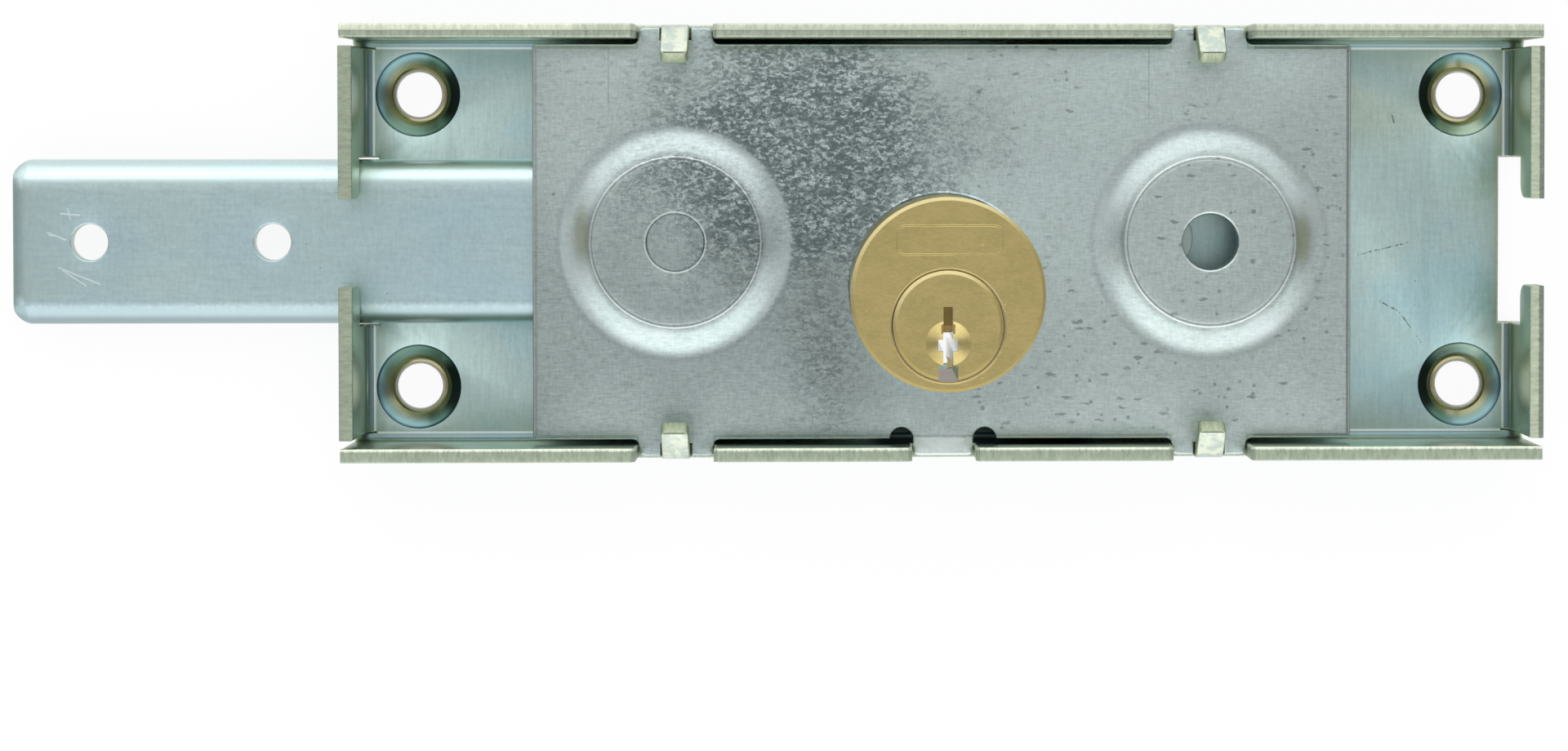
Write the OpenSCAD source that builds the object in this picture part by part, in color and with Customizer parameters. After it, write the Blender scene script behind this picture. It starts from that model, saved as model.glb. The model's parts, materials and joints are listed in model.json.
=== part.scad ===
// Roller shutter lock: a folded sheet case, a pressed cover plate, a sliding channel bar
// with a toothed tail, and an eccentric pin tumbler cylinder whose plug ends in a pinion.
// The lock lies on its back. X runs along the bar, which leaves to -X. Y runs across the case.
// Z points out of the key side. The origin is the centre of the four fixing holes on the back.

/* [Case] */
// Length over the end walls
case_l = 153; // [146:0.5:180]
// Width over the long walls
case_w = 55.6; // [54:0.2:70]
// Height of the walls above the back
case_h = 13; // [12:0.1:18]
// Thickness of the case's sheet
case_t = 1.8; // [1.4:0.1:2.2]
// Inside radius of the bends
bend_r = 1; // [0.6:0.1:1.4]
// Slot between an end wall and the long wall beside it, above the bend
corner_slot = 0.9; // [0.5:0.1:2]
// Distance from a fixing hole's axis to the outside of the end wall
fixing_end = 8.5; // [8:0.1:12]
// Distance from a fixing hole's axis to the outside of the long wall
fixing_side = 8.8; // [8.2:0.1:11]
// Diameter of a fixing hole
fixing_d = 5.8; // [4.5:0.1:6.2]
// Outer diameter of a fixing hole's countersink
fixing_sink_d = 10.9; // [8.5:0.1:11]

/* [End windows] */
// Free width between the two hooks over the bar
hook_gap = 11.1; // [9.5:0.1:13]
// Rounding under the tip of a hook
hook_r = 2; // [0.5:0.1:2.5]
// Gap between the bar and its window, on each side and above
window_gap = 0.2; // [0.1:0.05:0.4]
// How far the window reaches into the base plate past the bend
window_notch = 0.6; // [0.2:0.1:1]

/* [Cover plate] */
// Length of the plate
cover_l = 105; // [100:0.5:112]
// Gap between the plate's long edge and the wall beside it
cover_side_gap = 0.65; // [0.3:0.05:2]
// Thickness of the plate
cover_t = 1.5; // [1:0.1:2]
// Distance between the left and the right stations, which carry wings, tongues and domes
station_l = 68.4; // [64:0.2:74]
// Width of a corner wing
wing_w = 9.6; // [8:0.1:12]
// Width of the single wing in the middle of the lower edge
middle_wing_w = 7.8; // [6:0.1:9]
// Distance from a wing's end to the outside of the case
wing_inset = 0.3; // [0.1:0.1:0.8]
// Gap between a wing and the wall beside it
wing_gap = 0.15; // [0.1:0.05:0.3]
// Radius of the relief notches beside the middle wing
relief_r = 1.45; // [1:0.05:1.8]

/* [Tongues] */
// Width of a folded tongue
tongue_w = 3.5; // [2.5:0.1:5]
// Inside radius of the tongue's fold
tongue_r = 0.4; // [0.2:0.1:0.6]
// Angle by which a tongue is folded inwards
tongue_fold = 46; // [35:1:60]
// Straight length beyond the fold
tongue_l = 4.4; // [3:0.1:5]

/* [Domes] */
// Outer diameter of a pressed dome
dome_d = 29.6; // [27:0.2:32]
// Diameter of the flat disc on top of a dome
dome_flat_d = 21.8; // [19:0.2:24]
// Height of a dome above the plate
dome_h = 1.6; // [1.4:0.1:3]
// Diameter of the hole in the right dome
dome_hole_d = 7.1; // [5:0.1:9]
// Diameter of the half-punched slug in the left dome
slug_d = 7.4; // [5:0.1:9]
// Depth of the half-punched slug
slug_depth = 0.5; // [0.2:0.1:0.8]

/* [Bolt bar] */
// Width of the channel section
bar_w = 21.2; // [20:0.1:22.6]
// Height of the channel section
bar_h = 5; // [4.5:0.1:6]
// Thickness of the bar's sheet
bar_t = 1.8; // [1.4:0.1:2.2]
// Outside radius of the channel's bends
bar_r = 3.1; // [2.4:0.1:3.4]
// How far the thrown bar stands out of the case
bar_out = 42.6; // [41:0.2:60]
// Diameter of the two holes for an extension rod
rod_hole_d = 4.7; // [3.5:0.1:6]
// Distance between the two rod holes
rod_hole_pitch = 23.3; // [18:0.1:25]
// Distance from the bar's end to the first rod hole
rod_hole_end = 9.9; // [8:0.1:14]
// Distance from the middle of the case to the tail's round end
tail_end = 32.3; // [30:0.1:33]
// Upper edge of the tail above the centreline
tail_top = 5; // [4.4:0.1:5.4]
// Gap between the bar and the case, and between the tail and its guides
slide_gap = 0.1; // [0.05:0.05:0.2]
// Gap between the bar and the cover plate
cover_gap = 0.3; // [0.2:0.05:0.6]

/* [Pinion and rack] */
// Travel of the bar for one full turn of the key
stroke = 40; // [39.4:0.1:40.4]
// Pressure angle of the teeth
pressure = 25; // [24:1:27]
// Play between the flanks
lash = 0.2; // [0.12:0.02:0.3]

/* [Cylinder] */
// Diameter of the cylinder's body
cyl_d = 23.8; // [23.6:0.1:24.4]
// Diameter of the body inside the case
cyl_base_d = 22.6; // [22.2:0.1:22.8]
// Height of the body above the cover plate
cyl_h = 20.1; // [19.6:0.1:30]
// Distance of the body's axis below the centreline
cyl_drop = 5.8; // [5.6:0.1:6]
// Bevel round the body's face
cyl_bevel = 0.4; // [0.3:0.05:0.8]
// Diameter of the plug
plug_d = 13.66; // [13.4:0.02:13.8]
// Distance of the plug's axis below the body's axis
plug_drop = 3.8; // [3.7:0.05:3.9]
// Radial running clearance of the plug
plug_gap = 0.05; // [0.02:0.01:0.1]
// Bevel round the plug's face
plug_bevel = 0.5; // [0.2:0.05:0.6]
// Diameter of the conical dimple in the plug's face
dimple_d = 5.5; // [4:0.1:6]
// Distance of the dimple's centre below the plug's axis
dimple_drop = 2.1; // [1.6:0.1:2.4]
// Width of the keyway's blade slot
keyway_w = 1.2; // [0.9:0.05:1.3]
// Width of the keyway's ribs
keyway_rib_w = 2.4; // [1.8:0.1:2.6]
// Diameter of the hole in the base plate behind the plug
tail_hole_d = 13.2; // [11:0.1:13.6]

/* [Pins and springs] */
// Distance between two pin stacks
pin_pitch = 3.8; // [3.5:0.05:3.85]
// Depth of the first pin stack behind the cylinder's face
pin_first = 3.8; // [3.4:0.1:3.9]
// Diameter of a pin chamber
chamber_d = 2.9; // [2.6:0.05:3]
// Radial clearance of a pin in its chamber
pin_gap = 0.07; // [0.03:0.01:0.1]
// Length of the longest key pin, which is the first one
pin_max_l = 7.66; // [7.2:0.02:7.8]
// Length of a driver pin
driver_l = 4; // [3.6:0.1:4.3]
// Gap between a key pin and its driver at the shear line
shear_gap = 0.2; // [0.1:0.02:0.25]
// Wire diameter of a pin spring
wire_d = 0.34; // [0.26:0.02:0.36]
// Turns of a pin spring
spring_turns = 5; // [4:1:6]
// Thickness of a chamber's closing slug
slug_t = 1.2; // [0.8:0.1:1.5]

/* [Pillars and screws] */
// Diameter of a pillar between base and cover
pillar_d = 5; // [4:0.1:6]
// Distance of a pillar from the middle of the case
pillar_x = 18; // [16:0.5:19]
// Diameter of a pillar's riveted shank
shank_d = 3; // [2.4:0.1:3.4]
// Thread diameter of a cylinder screw
screw_d = 2.5; // [2:0.1:2.6]
// Length of a cylinder screw
screw_l = 11; // [8:0.5:14]
// Head diameter of a cylinder screw
screw_head_d = 5; // [4:0.1:5.2]
// Distance of a cylinder screw from the middle of the case
screw_x = 9.05; // [8.9:0.05:9.2]

/* [Hidden] */
$fn = 64;
// Overlap of a cutting shape with the face that it cuts through
eps = 0.01;
// Overshoot of a cutting shape past the sheet
over = 1;

// Small fits, offsets and finishes
channel_inset = 0.5;
plug_lift = 0.2;
wall_short = 0.3;
fold_drop = 0.3;
gusset_w = 4;
gusset_l = 5;
heel_gap = 0.3;
hub_inset = 0.2;
screw_drop = 0.2;
screw_slot_w = 0.8;
screw_slot_h = 0.6;
pin_chamfer = 0.2;
coil_gap = 0.1;
coil_seat = 0.05;
sink_depth = 1.35;
sink_lip = 0.75;
gap_bevel = 0.5;
wing_r = 0.8;
window_cut_l = 10;
bar_end_r = 1.7;
bar_end_drop = 0.45;
bar_end_slope = 1.7;
dome_steps = 8;
dome_foot = 0.3;
slug_shrink = 0.03;
slug_fit = 0.02;
screw_gap = 0.05;
screw_head_h = 1.35;

// Heights of the layers, from the back
bend_out = bend_r + case_t;
bar_z = case_t + slide_gap;
bar_top = bar_z + bar_h;
cover_z = bar_top + cover_gap;
cover_top = cover_z + cover_t;
face_z = cover_top + cyl_h;
window_top = bar_top + window_gap;

// Ends of the bar's stretches along X
bar_end = -case_l / 2 - bar_out;
channel_end = -cover_l / 2 + channel_inset;
web_z = bar_top - bar_t;

// Positions that follow the case's outside, and those that the cover shares with the case
fixing_x = case_l / 2 - fixing_end;
fixing_y = case_w / 2 - fixing_side;
cover_w = case_w - 2 * case_t - 2 * cover_side_gap;
station_x = station_l / 2;
gap_w = wing_w + 2 * wing_gap;
middle_gap_w = middle_wing_w + 2 * wing_gap;
wing_end = case_w / 2 - wing_inset;

// The cylinder's two axes and the tooth form, with the pitch circle set by the stroke.
// The teeth are even in number, so that the keyway's slot falls in a space between two of them.
teeth = 12;
cyl_y = -cyl_drop;
plug_y = cyl_y - plug_drop;
pitch_r = stroke / (2 * PI);
tooth_pitch = stroke / teeth;
tooth_out = 0.94 * tooth_pitch / PI;
tooth_in = 1.18 * tooth_pitch / PI;
tip_r = pitch_r + tooth_out;
root_r = pitch_r - tooth_in;
base_r = pitch_r * cos(pressure);
pitch_y = plug_y + pitch_r;
rack_tip_y = pitch_y - tooth_out;
rack_root_y = pitch_y + tooth_in;
pinion_top = cover_z - slide_gap;
pocket_gap = 0.33;
plug_z = case_t + plug_lift;

// The tail's channel through the cylinder's foot, and the cylinder's seats
channel_gap = 0.3;
cyl_hole_gap = 0.1;
bore_bevel = 0.25;
dimple_angle = 118;
flank_steps = 6;

// Pin stacks, measured along Y from the plug's axis
pin_r = chamber_d / 2 - pin_gap;
plug_r = plug_d / 2;
shear_y = plug_r + plug_gap;
pin_top = shear_y - shear_gap;
driver_y = shear_y + 0.02;
spring_y = driver_y + driver_l;
slug_top = cyl_d / 2 + plug_drop;
slug_y = slug_top - slug_t;
chamber_floor = pin_top - pin_max_l - 0.5;
pin_tip_h = 0.9;
pin_tip_r = 0.5;
// Steps by which the key pins are shorter than the longest one
pin_cuts = [0, 1.3, 1.9, 0.8, 1.6];
pin_count = len(pin_cuts);

// Keyway heights below and above the plug's axis
keyway_top = 2.34;
rib_top = -1.72;
rib_bottom = -3.16;
heel_top = -4.85;

zinc = [0.62, 0.70, 0.70];
galvanised = [0.58, 0.62, 0.63];
brass = [0.71, 0.65, 0.40];
steel = [0.55, 0.55, 0.56];

function pin_z(i) = face_z - pin_first - i * pin_pitch;
function involute(a) = tan(a) * 180 / PI - a;
function flank_angle(r) = 90 / teeth - lash / 4 / pitch_r * 180 / PI
    + involute(pressure) - involute(acos(min(1, base_r / r)));
function polar(r, a) = [r * sin(a), r * cos(a)];

// Mirrors one corner into all four
module four_corners() {
    for (sx = [0, 1], sy = [0, 1]) mirror([sx, 0, 0]) mirror([0, sy, 0]) children();
}

// Extrudes a Y-Z outline along X, centred
module along_x(length) {
    rotate([90, 0, 90]) linear_extrude(length, center = true) children();
}

// Extrudes an X-Z outline along Y, centred
module along_y(length) {
    rotate([90, 0, 0]) linear_extrude(length, center = true) children();
}

// Turns a shape that stands on Z so that it points to +Y
module towards_y() {
    rotate([-90, 0, 0]) children();
}

// Outline of a wall with its bend: outer face at 0, back at 0
module wall_section() {
    translate([-bend_out, bend_out]) intersection() {
        difference() {
            circle(bend_out);
            circle(bend_r);
        }
        translate([0, -bend_out]) square(bend_out);
    }
    translate([-case_t, bend_out]) square([case_t, case_h - bend_out]);
}

// Outline of a gap in a long wall, with bevelled upper corners
module wall_gap_outline(width) {
    half = width / 2;
    wide = half + gap_bevel + over;
    polygon([
        [-half, cover_z], [half, cover_z], [half, case_h - gap_bevel],
        [wide, case_h + over], [-wide, case_h + over], [-half, case_h - gap_bevel]
    ]);
}

// Outline of the stepped end window: wide for the bar, narrow between the hooks
module window_outline() {
    half = bar_w / 2 + window_gap;
    translate([-half, -over]) square([2 * half, window_top + over]);
    translate([-hook_gap / 2, 0]) square([hook_gap, case_h + over]);
    difference() {
        translate([-hook_gap / 2 - hook_r, window_top - eps])
            square([hook_gap + 2 * hook_r, hook_r + eps]);
        for (s = [-1, 1])
            translate([s * (hook_gap / 2 + hook_r), window_top + hook_r]) circle(hook_r);
    }
}

// Side view of a tongue: it rises in the wall's plane and is folded inwards
module tongue_section() {
    fold_z = cover_top - fold_drop;
    r_out = tongue_r + case_t;
    translate([-case_t, cover_z - over]) square([case_t, fold_z - cover_z + over]);
    translate([-r_out, fold_z]) {
        intersection() {
            difference() {
                circle(r_out);
                circle(tongue_r);
            }
            polygon([[0, 0], [2 * r_out, 0], [2 * r_out, 2 * r_out * tan(tongue_fold)]]);
        }
        rotate(tongue_fold) translate([tongue_r, -eps]) square([case_t, tongue_l + eps]);
    }
}

module fixing_hole() {
    r = fixing_d / 2;
    translate([0, 0, -over]) cylinder(r = r, h = case_t + 2 * over);
    translate([0, 0, case_t - sink_depth])
        cylinder(r1 = r + sink_lip, r2 = fixing_sink_d / 2, h = sink_depth + eps);
}

// Places the two screws that hold the cylinder, beside the plug
module screw_places() {
    for (s = [-1, 1]) translate([s * screw_x, cyl_y - screw_drop, 0]) children();
}

// Places the pillars: the left pair guides the channel, the right pair the tail
module pillar_places() {
    reach = slide_gap + pillar_d / 2;
    for (s = [-1, 1]) translate([-pillar_x, s * (bar_w / 2 + reach), 0]) children();
    translate([pillar_x, tail_top + reach, 0]) children();
    translate([pillar_x, rack_tip_y - reach, 0]) children();
}

module screw_shape(gap) {
    r = screw_d / 2 + gap;
    translate([0, 0, -gap]) cylinder(r1 = screw_head_d / 2 + gap, r2 = r, h = screw_head_h);
    translate([0, 0, -gap]) cylinder(r = r, h = screw_l + 2 * gap);
}

module case() {
    long_l = case_l - wall_short;
    end_w = case_w - 2 * case_t - 2 * corner_slot;
    color(zinc) {
        difference() {
            union() {
                translate([-case_l / 2 + bend_out, -case_w / 2 + bend_out, 0])
                    cube([case_l - 2 * bend_out, case_w - 2 * bend_out, case_t]);
                for (s = [0, 1]) mirror([0, s, 0])
                    translate([0, case_w / 2, 0]) along_x(long_l) wall_section();
                for (s = [0, 1]) mirror([s, 0, 0])
                    translate([case_l / 2, 0, 0]) along_y(end_w) wall_section();
            }
            for (s = [0, 1]) mirror([0, s, 0]) translate([0, case_w / 2, 0]) {
                for (x = [-station_x, station_x])
                    translate([x, 0, 0]) along_y(2 * bend_out) wall_gap_outline(gap_w);
                if (s == 1) along_y(2 * bend_out) wall_gap_outline(middle_gap_w);
            }
            for (s = [0, 1]) mirror([s, 0, 0])
                translate([case_l / 2 - bend_out - window_notch + window_cut_l / 2, 0, 0])
                    along_x(window_cut_l) window_outline();
            four_corners() translate([fixing_x, fixing_y, 0]) fixing_hole();
            translate([0, plug_y, -over]) cylinder(d = tail_hole_d, h = case_t + 2 * over);
            screw_places() screw_shape(screw_gap);
            pillar_places() translate([0, 0, -over]) cylinder(d = shank_d, h = case_t + 2 * over);
        }
        for (s = [0, 1], x = [-station_x, station_x]) mirror([0, s, 0])
            translate([x, case_w / 2, 0]) along_x(tongue_w) tongue_section();
    }
}

// A rectangle with rounded corners, centred
module round_rect(l, w, r) {
    square([l - 2 * r, w], center = true);
    square([l, w - 2 * r], center = true);
    for (sx = [-1, 1], sy = [-1, 1]) translate([sx * (l / 2 - r), sy * (w / 2 - r)]) circle(r);
}

// A wing that stands out of the plate's upper edge, with filleted roots
module wing_outline(w, fillet) {
    root = cover_w / 2;
    translate([0, root - over]) difference() {
        translate([0, (wing_end - root + over) / 2 - wing_r])
            round_rect(w, wing_end - root + over + 2 * wing_r, wing_r);
        translate([-w, -3 * wing_r]) square([2 * w, 3 * wing_r]);
    }
    if (fillet) for (s = [0, 1]) mirror([s, 0]) translate([w / 2, root]) difference() {
        translate([-eps, -eps]) square(wing_r + eps);
        translate([wing_r, wing_r]) circle(wing_r);
    }
}

module cover_outline() {
    slot_w = tongue_w + 2 * wing_gap;
    slot_y = case_w / 2 - case_t - wing_gap;
    difference() {
        union() {
            round_rect(cover_l, cover_w, wing_r);
            for (s = [0, 1], x = [-station_x, station_x])
                mirror([0, s]) translate([x, 0]) wing_outline(wing_w, true);
            mirror([0, 1]) wing_outline(middle_wing_w, false);
        }
        for (s = [0, 1], x = [-station_x, station_x]) mirror([0, s])
            translate([x - slot_w / 2, slot_y]) square([slot_w, case_t + over]);
        for (s = [-1, 1])
            translate([s * (middle_wing_w / 2 + relief_r), -cover_w / 2]) circle(relief_r);
        translate([0, cyl_y]) circle(d = cyl_d + 2 * cyl_hole_gap);
    }
}

// Height of a dome's flank, from the foot at 0 to the sharp edge of the disc at 1
function dome_rise(t) = dome_h * (1 - cos(90 * t));
function dome_edge(z) = [
    for (i = [0 : dome_steps])
        let (t = i / dome_steps)
        [dome_d / 2 + (dome_flat_d - dome_d) / 2 * t, z + dome_rise(t)]
];
function reversed(list) = [for (i = [len(list) - 1 : -1 : 0]) list[i]];

// A pressed dome, as thick as the plate, round the origin
module dome() {
    foot = dome_d / 2 + dome_foot;
    rotate_extrude() polygon(concat(
        [[foot, 0]], dome_edge(0), [[0, dome_h], [0, dome_h - cover_t]],
        reversed(dome_edge(-cover_t)), [[foot, -cover_t]]
    ));
}

module cover_plate() {
    disc_z = cover_top + dome_h;
    color(galvanised) {
        difference() {
            union() {
                difference() {
                    translate([0, 0, cover_z]) linear_extrude(cover_t) cover_outline();
                    for (x = [-station_x, station_x]) translate([x, 0, cover_z - over])
                        cylinder(d = dome_d, h = cover_t + 2 * over);
                }
                for (x = [-station_x, station_x]) translate([x, 0, cover_top]) dome();
            }
            translate([station_x, 0, cover_z]) cylinder(d = dome_hole_d, h = disc_z);
            translate([-station_x, 0, disc_z - slug_depth]) cylinder(d = slug_d, h = over + slug_depth);
        }
        translate([-station_x, 0, disc_z - cover_t - slug_depth])
            cylinder(d = slug_d - 2 * slug_shrink, h = cover_t);
    }
}

// Outline of a block with rounded upper corners, for a bent channel and its hollow
module channel_outline(w, h, r) {
    intersection() {
        union() {
            translate([-w / 2 + r, 0]) square([w - 2 * r, h]);
            translate([-w / 2, 0]) square([w, h - r]);
            for (s = [-1, 1]) translate([s * (w / 2 - r), h - r]) circle(r);
        }
        translate([-w / 2, 0]) square([w, h]);
    }
}

module channel() {
    l = channel_end - bar_end;
    intersection() {
        translate([(channel_end + bar_end) / 2, 0, bar_z]) along_x(l) difference() {
            channel_outline(bar_w, bar_h, bar_r);
            translate([0, -eps])
                channel_outline(bar_w - 2 * bar_t, bar_h - bar_t + eps, bar_r - bar_t);
        }
        translate([bar_end + l / 2 + bar_end_r, 0, bar_z - over]) linear_extrude(bar_h + 2 * over)
            round_rect(l + 2 * bar_end_r, bar_w + eps, bar_end_r);
    }
}

// One space between two teeth of the rack, open towards the pinion
module rack_space() {
    half = tooth_pitch / 4 + lash / 4;
    mouth = half + (pitch_y - rack_tip_y + over) * tan(pressure);
    floor_half = half - (rack_root_y - pitch_y) * tan(pressure);
    polygon([
        [-mouth, rack_tip_y - over], [mouth, rack_tip_y - over],
        [floor_half, rack_root_y], [-floor_half, rack_root_y]
    ]);
}

// The flat tail: toothed on its lower edge, round at its end
module tail_outline() {
    end_r = (tail_top - rack_tip_y) / 2;
    start = channel_end - over;
    difference() {
        union() {
            translate([start, rack_tip_y]) square([tail_end - end_r - start, 2 * end_r]);
            translate([tail_end - end_r, rack_tip_y + end_r]) circle(end_r);
            polygon([
                [start, tail_top], [start, tail_top + gusset_w],
                [channel_end, tail_top + gusset_w], [channel_end + gusset_l, tail_top]
            ]);
        }
        for (k = [-teeth - 2 : 1]) translate([(k + 0.5) * tooth_pitch, 0]) rack_space();
    }
}

module bolt_bar() {
    color(zinc) difference() {
        union() {
            channel();
            translate([0, 0, web_z]) linear_extrude(bar_t) tail_outline();
        }
        for (i = [0, 1])
            translate([bar_end + rod_hole_end + i * rod_hole_pitch, 0, web_z - over])
                cylinder(d = rod_hole_d, h = bar_t + 2 * over);
        along_y(bar_w + 2 * over) polygon([
            [bar_end - over, bar_top - bar_end_drop], [bar_end, bar_top - bar_end_drop],
            [bar_end + bar_end_slope, bar_top], [bar_end + bar_end_slope, bar_top + over],
            [bar_end - over, bar_top + over]
        ]);
    }
}

module cylinder_body() {
    base_h = cover_z - case_t;
    bore_r = plug_r + plug_gap;
    color(brass) difference() {
        translate([0, cyl_y, 0]) {
            translate([0, 0, case_t]) cylinder(d = cyl_base_d, h = base_h + eps);
            translate([0, 0, cover_z]) cylinder(d = cyl_d, h = face_z - cover_z - cyl_bevel);
            translate([0, 0, face_z - cyl_bevel])
                cylinder(d1 = cyl_d, d2 = cyl_d - 2 * cyl_bevel, h = cyl_bevel);
        }
        translate([0, plug_y, 0]) {
            cylinder(r = bore_r, h = face_z + over);
            cylinder(r = tip_r + pocket_gap, h = cover_z);
            translate([0, 0, face_z - bore_bevel])
                cylinder(r1 = bore_r, r2 = bore_r + bore_bevel, h = bore_bevel + eps);
        }
        translate([-cyl_d, rack_tip_y - channel_gap, web_z - channel_gap])
            cube([2 * cyl_d, cyl_d, cover_z - web_z + channel_gap]);
        for (i = [0 : pin_count - 1]) translate([0, plug_y, pin_z(i)])
            towards_y() cylinder(d = chamber_d, h = slug_top + over);
        screw_places() screw_shape(screw_gap);
    }
}

// One tooth of the pinion; the spaces point to the rack and away from it
module pinion_tooth() {
    rise = [for (i = [0 : flank_steps]) base_r + (tip_r - base_r) * i / flank_steps];
    left = [for (r = rise) polar(r, -flank_angle(r))];
    right = [for (r = reversed(rise)) polar(r, flank_angle(r))];
    foot = flank_angle(base_r);
    polygon(concat(
        [polar(root_r - over, -foot), polar(root_r, -foot)], left, right,
        [polar(root_r, foot), polar(root_r - over, foot)]
    ));
}

module pinion_outline() {
    circle(root_r);
    for (i = [0 : teeth - 1]) rotate((i + 0.5) * 360 / teeth) pinion_tooth();
}

// The blade slot and its ribs, which run through the whole plug
module keyway_outline() {
    translate([-keyway_w / 2, -tip_r - over]) square([keyway_w, keyway_top + tip_r + over]);
    translate([-keyway_rib_w / 2, rib_bottom]) square([keyway_rib_w, rib_top - rib_bottom]);
}

// The wide foot of the keyway, which stops at the pinion
module keyway_heel_outline() {
    translate([-keyway_rib_w / 2, -plug_r - over]) square([keyway_rib_w, heel_top + plug_r + over]);
}

module cylinder_plug() {
    dimple_h = dimple_d / 2 / tan(dimple_angle / 2);
    color(brass) translate([0, plug_y, 0]) difference() {
        union() {
            translate([0, 0, plug_z]) linear_extrude(pinion_top - plug_z) pinion_outline();
            translate([0, 0, plug_z]) cylinder(r = root_r - hub_inset, h = pinion_top - plug_z + over);
            translate([0, 0, pinion_top]) cylinder(r = plug_r, h = face_z - plug_bevel - pinion_top);
            translate([0, 0, face_z - plug_bevel])
                cylinder(r1 = plug_r, r2 = plug_r - plug_bevel, h = plug_bevel);
        }
        translate([0, 0, -over]) linear_extrude(face_z + 2 * over) keyway_outline();
        translate([0, 0, pinion_top + heel_gap]) linear_extrude(face_z) keyway_heel_outline();
        translate([0, -dimple_drop, face_z - dimple_h])
            cylinder(r1 = 0, r2 = dimple_d / 2 * (1 + eps), h = dimple_h * (1 + eps));
        for (i = [0 : pin_count - 1]) translate([0, chamber_floor, pin_z(i)])
            towards_y() cylinder(d = chamber_d, h = plug_d);
    }
}

module key_pin(i) {
    l = pin_max_l - pin_cuts[i];
    color(brass) translate([0, plug_y + pin_top - l, pin_z(i)]) towards_y() {
        cylinder(r1 = pin_tip_r, r2 = pin_r, h = pin_tip_h);
        translate([0, 0, pin_tip_h]) cylinder(r = pin_r, h = l - pin_tip_h);
    }
}

module driver_pin(i) {
    color(steel) translate([0, plug_y + driver_y, pin_z(i)]) towards_y() {
        cylinder(r1 = pin_r - pin_chamfer, r2 = pin_r, h = pin_chamfer);
        translate([0, 0, pin_chamfer]) cylinder(r = pin_r, h = driver_l - 2 * pin_chamfer);
        translate([0, 0, driver_l - pin_chamfer])
            cylinder(r1 = pin_r, r2 = pin_r - pin_chamfer, h = pin_chamfer);
    }
}

// A coil of round wire from z = 0 to z = l, swept ring by ring
module coil(r, wire_r, l, turns) {
    steps = 12;
    sides = 6;
    rings = turns * steps;
    pts = [
        for (i = [0 : rings], j = [0 : sides - 1])
            let (a = 360 * i / steps, b = 360 * j / sides, reach = r + wire_r * cos(b))
            [reach * cos(a), reach * sin(a), wire_r + (l - 2 * wire_r) * i / rings + wire_r * sin(b)]
    ];
    walls = [
        for (i = [0 : rings - 1], j = [0 : sides - 1])
            let (k = (j + 1) % sides)
            [i * sides + j, i * sides + k, (i + 1) * sides + k, (i + 1) * sides + j]
    ];
    first = [for (j = [sides - 1 : -1 : 0]) j];
    last = [for (j = [0 : sides - 1]) rings * sides + j];
    polyhedron(points = pts, faces = concat([first], walls, [last]));
}

module pin_spring(i) {
    l = slug_y - spring_y - 2 * coil_seat;
    color(steel) translate([0, plug_y + spring_y + coil_seat, pin_z(i)]) towards_y()
        coil(pin_r - wire_d / 2 - coil_gap, wire_d / 2, l, spring_turns);
}

// The slugs that close the chambers, finished flush with the body
module chamber_slugs() {
    color(brass) for (i = [0 : pin_count - 1]) intersection() {
        translate([0, plug_y + slug_y, pin_z(i)])
            towards_y() cylinder(r = chamber_d / 2 - slug_fit, h = slug_t + over);
        translate([0, cyl_y, 0]) cylinder(r = cyl_d / 2 - slug_fit, h = face_z);
    }
}

module cylinder_screws() {
    color(steel) screw_places() difference() {
        screw_shape(0);
        translate([-screw_head_d / 2, -screw_slot_w / 2, -over])
            cube([screw_head_d, screw_slot_w, over + screw_slot_h]);
    }
}

module guide_pillars() {
    color(steel) pillar_places() {
        cylinder(d = shank_d - 2 * slug_fit, h = case_t + eps);
        translate([0, 0, case_t]) cylinder(d = pillar_d, h = cover_z - case_t);
    }
}

case();
cover_plate();
bolt_bar();
cylinder_body();
cylinder_plug();
chamber_slugs();
cylinder_screws();
guide_pillars();
key_pin(0);  // key_pin_1
key_pin(1);  // key_pin_2
key_pin(2);  // key_pin_3
key_pin(3);  // key_pin_4
key_pin(4);  // key_pin_5
driver_pin(0);  // driver_pin_1
driver_pin(1);  // driver_pin_2
driver_pin(2);  // driver_pin_3
driver_pin(3);  // driver_pin_4
driver_pin(4);  // driver_pin_5
pin_spring(0);  // pin_spring_1
pin_spring(1);  // pin_spring_2
pin_spring(2);  // pin_spring_3
pin_spring(3);  // pin_spring_4
pin_spring(4);  // pin_spring_5
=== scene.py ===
"""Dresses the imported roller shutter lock: rounded sheet metal, plated and brass finishes, studio."""

import functools
import json
import math

import bmesh
import bpy
import numpy as np
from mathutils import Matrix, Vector
from mathutils.geometry import delaunay_2d_cdt


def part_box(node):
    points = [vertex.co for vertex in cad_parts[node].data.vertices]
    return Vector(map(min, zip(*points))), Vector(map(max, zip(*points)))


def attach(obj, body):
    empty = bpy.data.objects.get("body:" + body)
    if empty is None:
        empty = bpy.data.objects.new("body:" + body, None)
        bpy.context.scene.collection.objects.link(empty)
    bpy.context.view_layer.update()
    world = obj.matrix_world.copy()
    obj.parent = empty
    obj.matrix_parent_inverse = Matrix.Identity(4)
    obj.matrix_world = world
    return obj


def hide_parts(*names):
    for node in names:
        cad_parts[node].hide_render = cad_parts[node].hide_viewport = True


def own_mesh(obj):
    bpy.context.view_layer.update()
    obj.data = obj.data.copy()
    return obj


bl_info = {
    "name": "Roller Shutter Lock",
    "version": (1, 0, 0),
    "blender": (4, 5, 0),
    "location": "3D View > Sidebar > Shutter Lock",
    "description": "Rounded sheet metal, plated and brass finishes for a roller shutter lock",
    "category": "Object",
}

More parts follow.
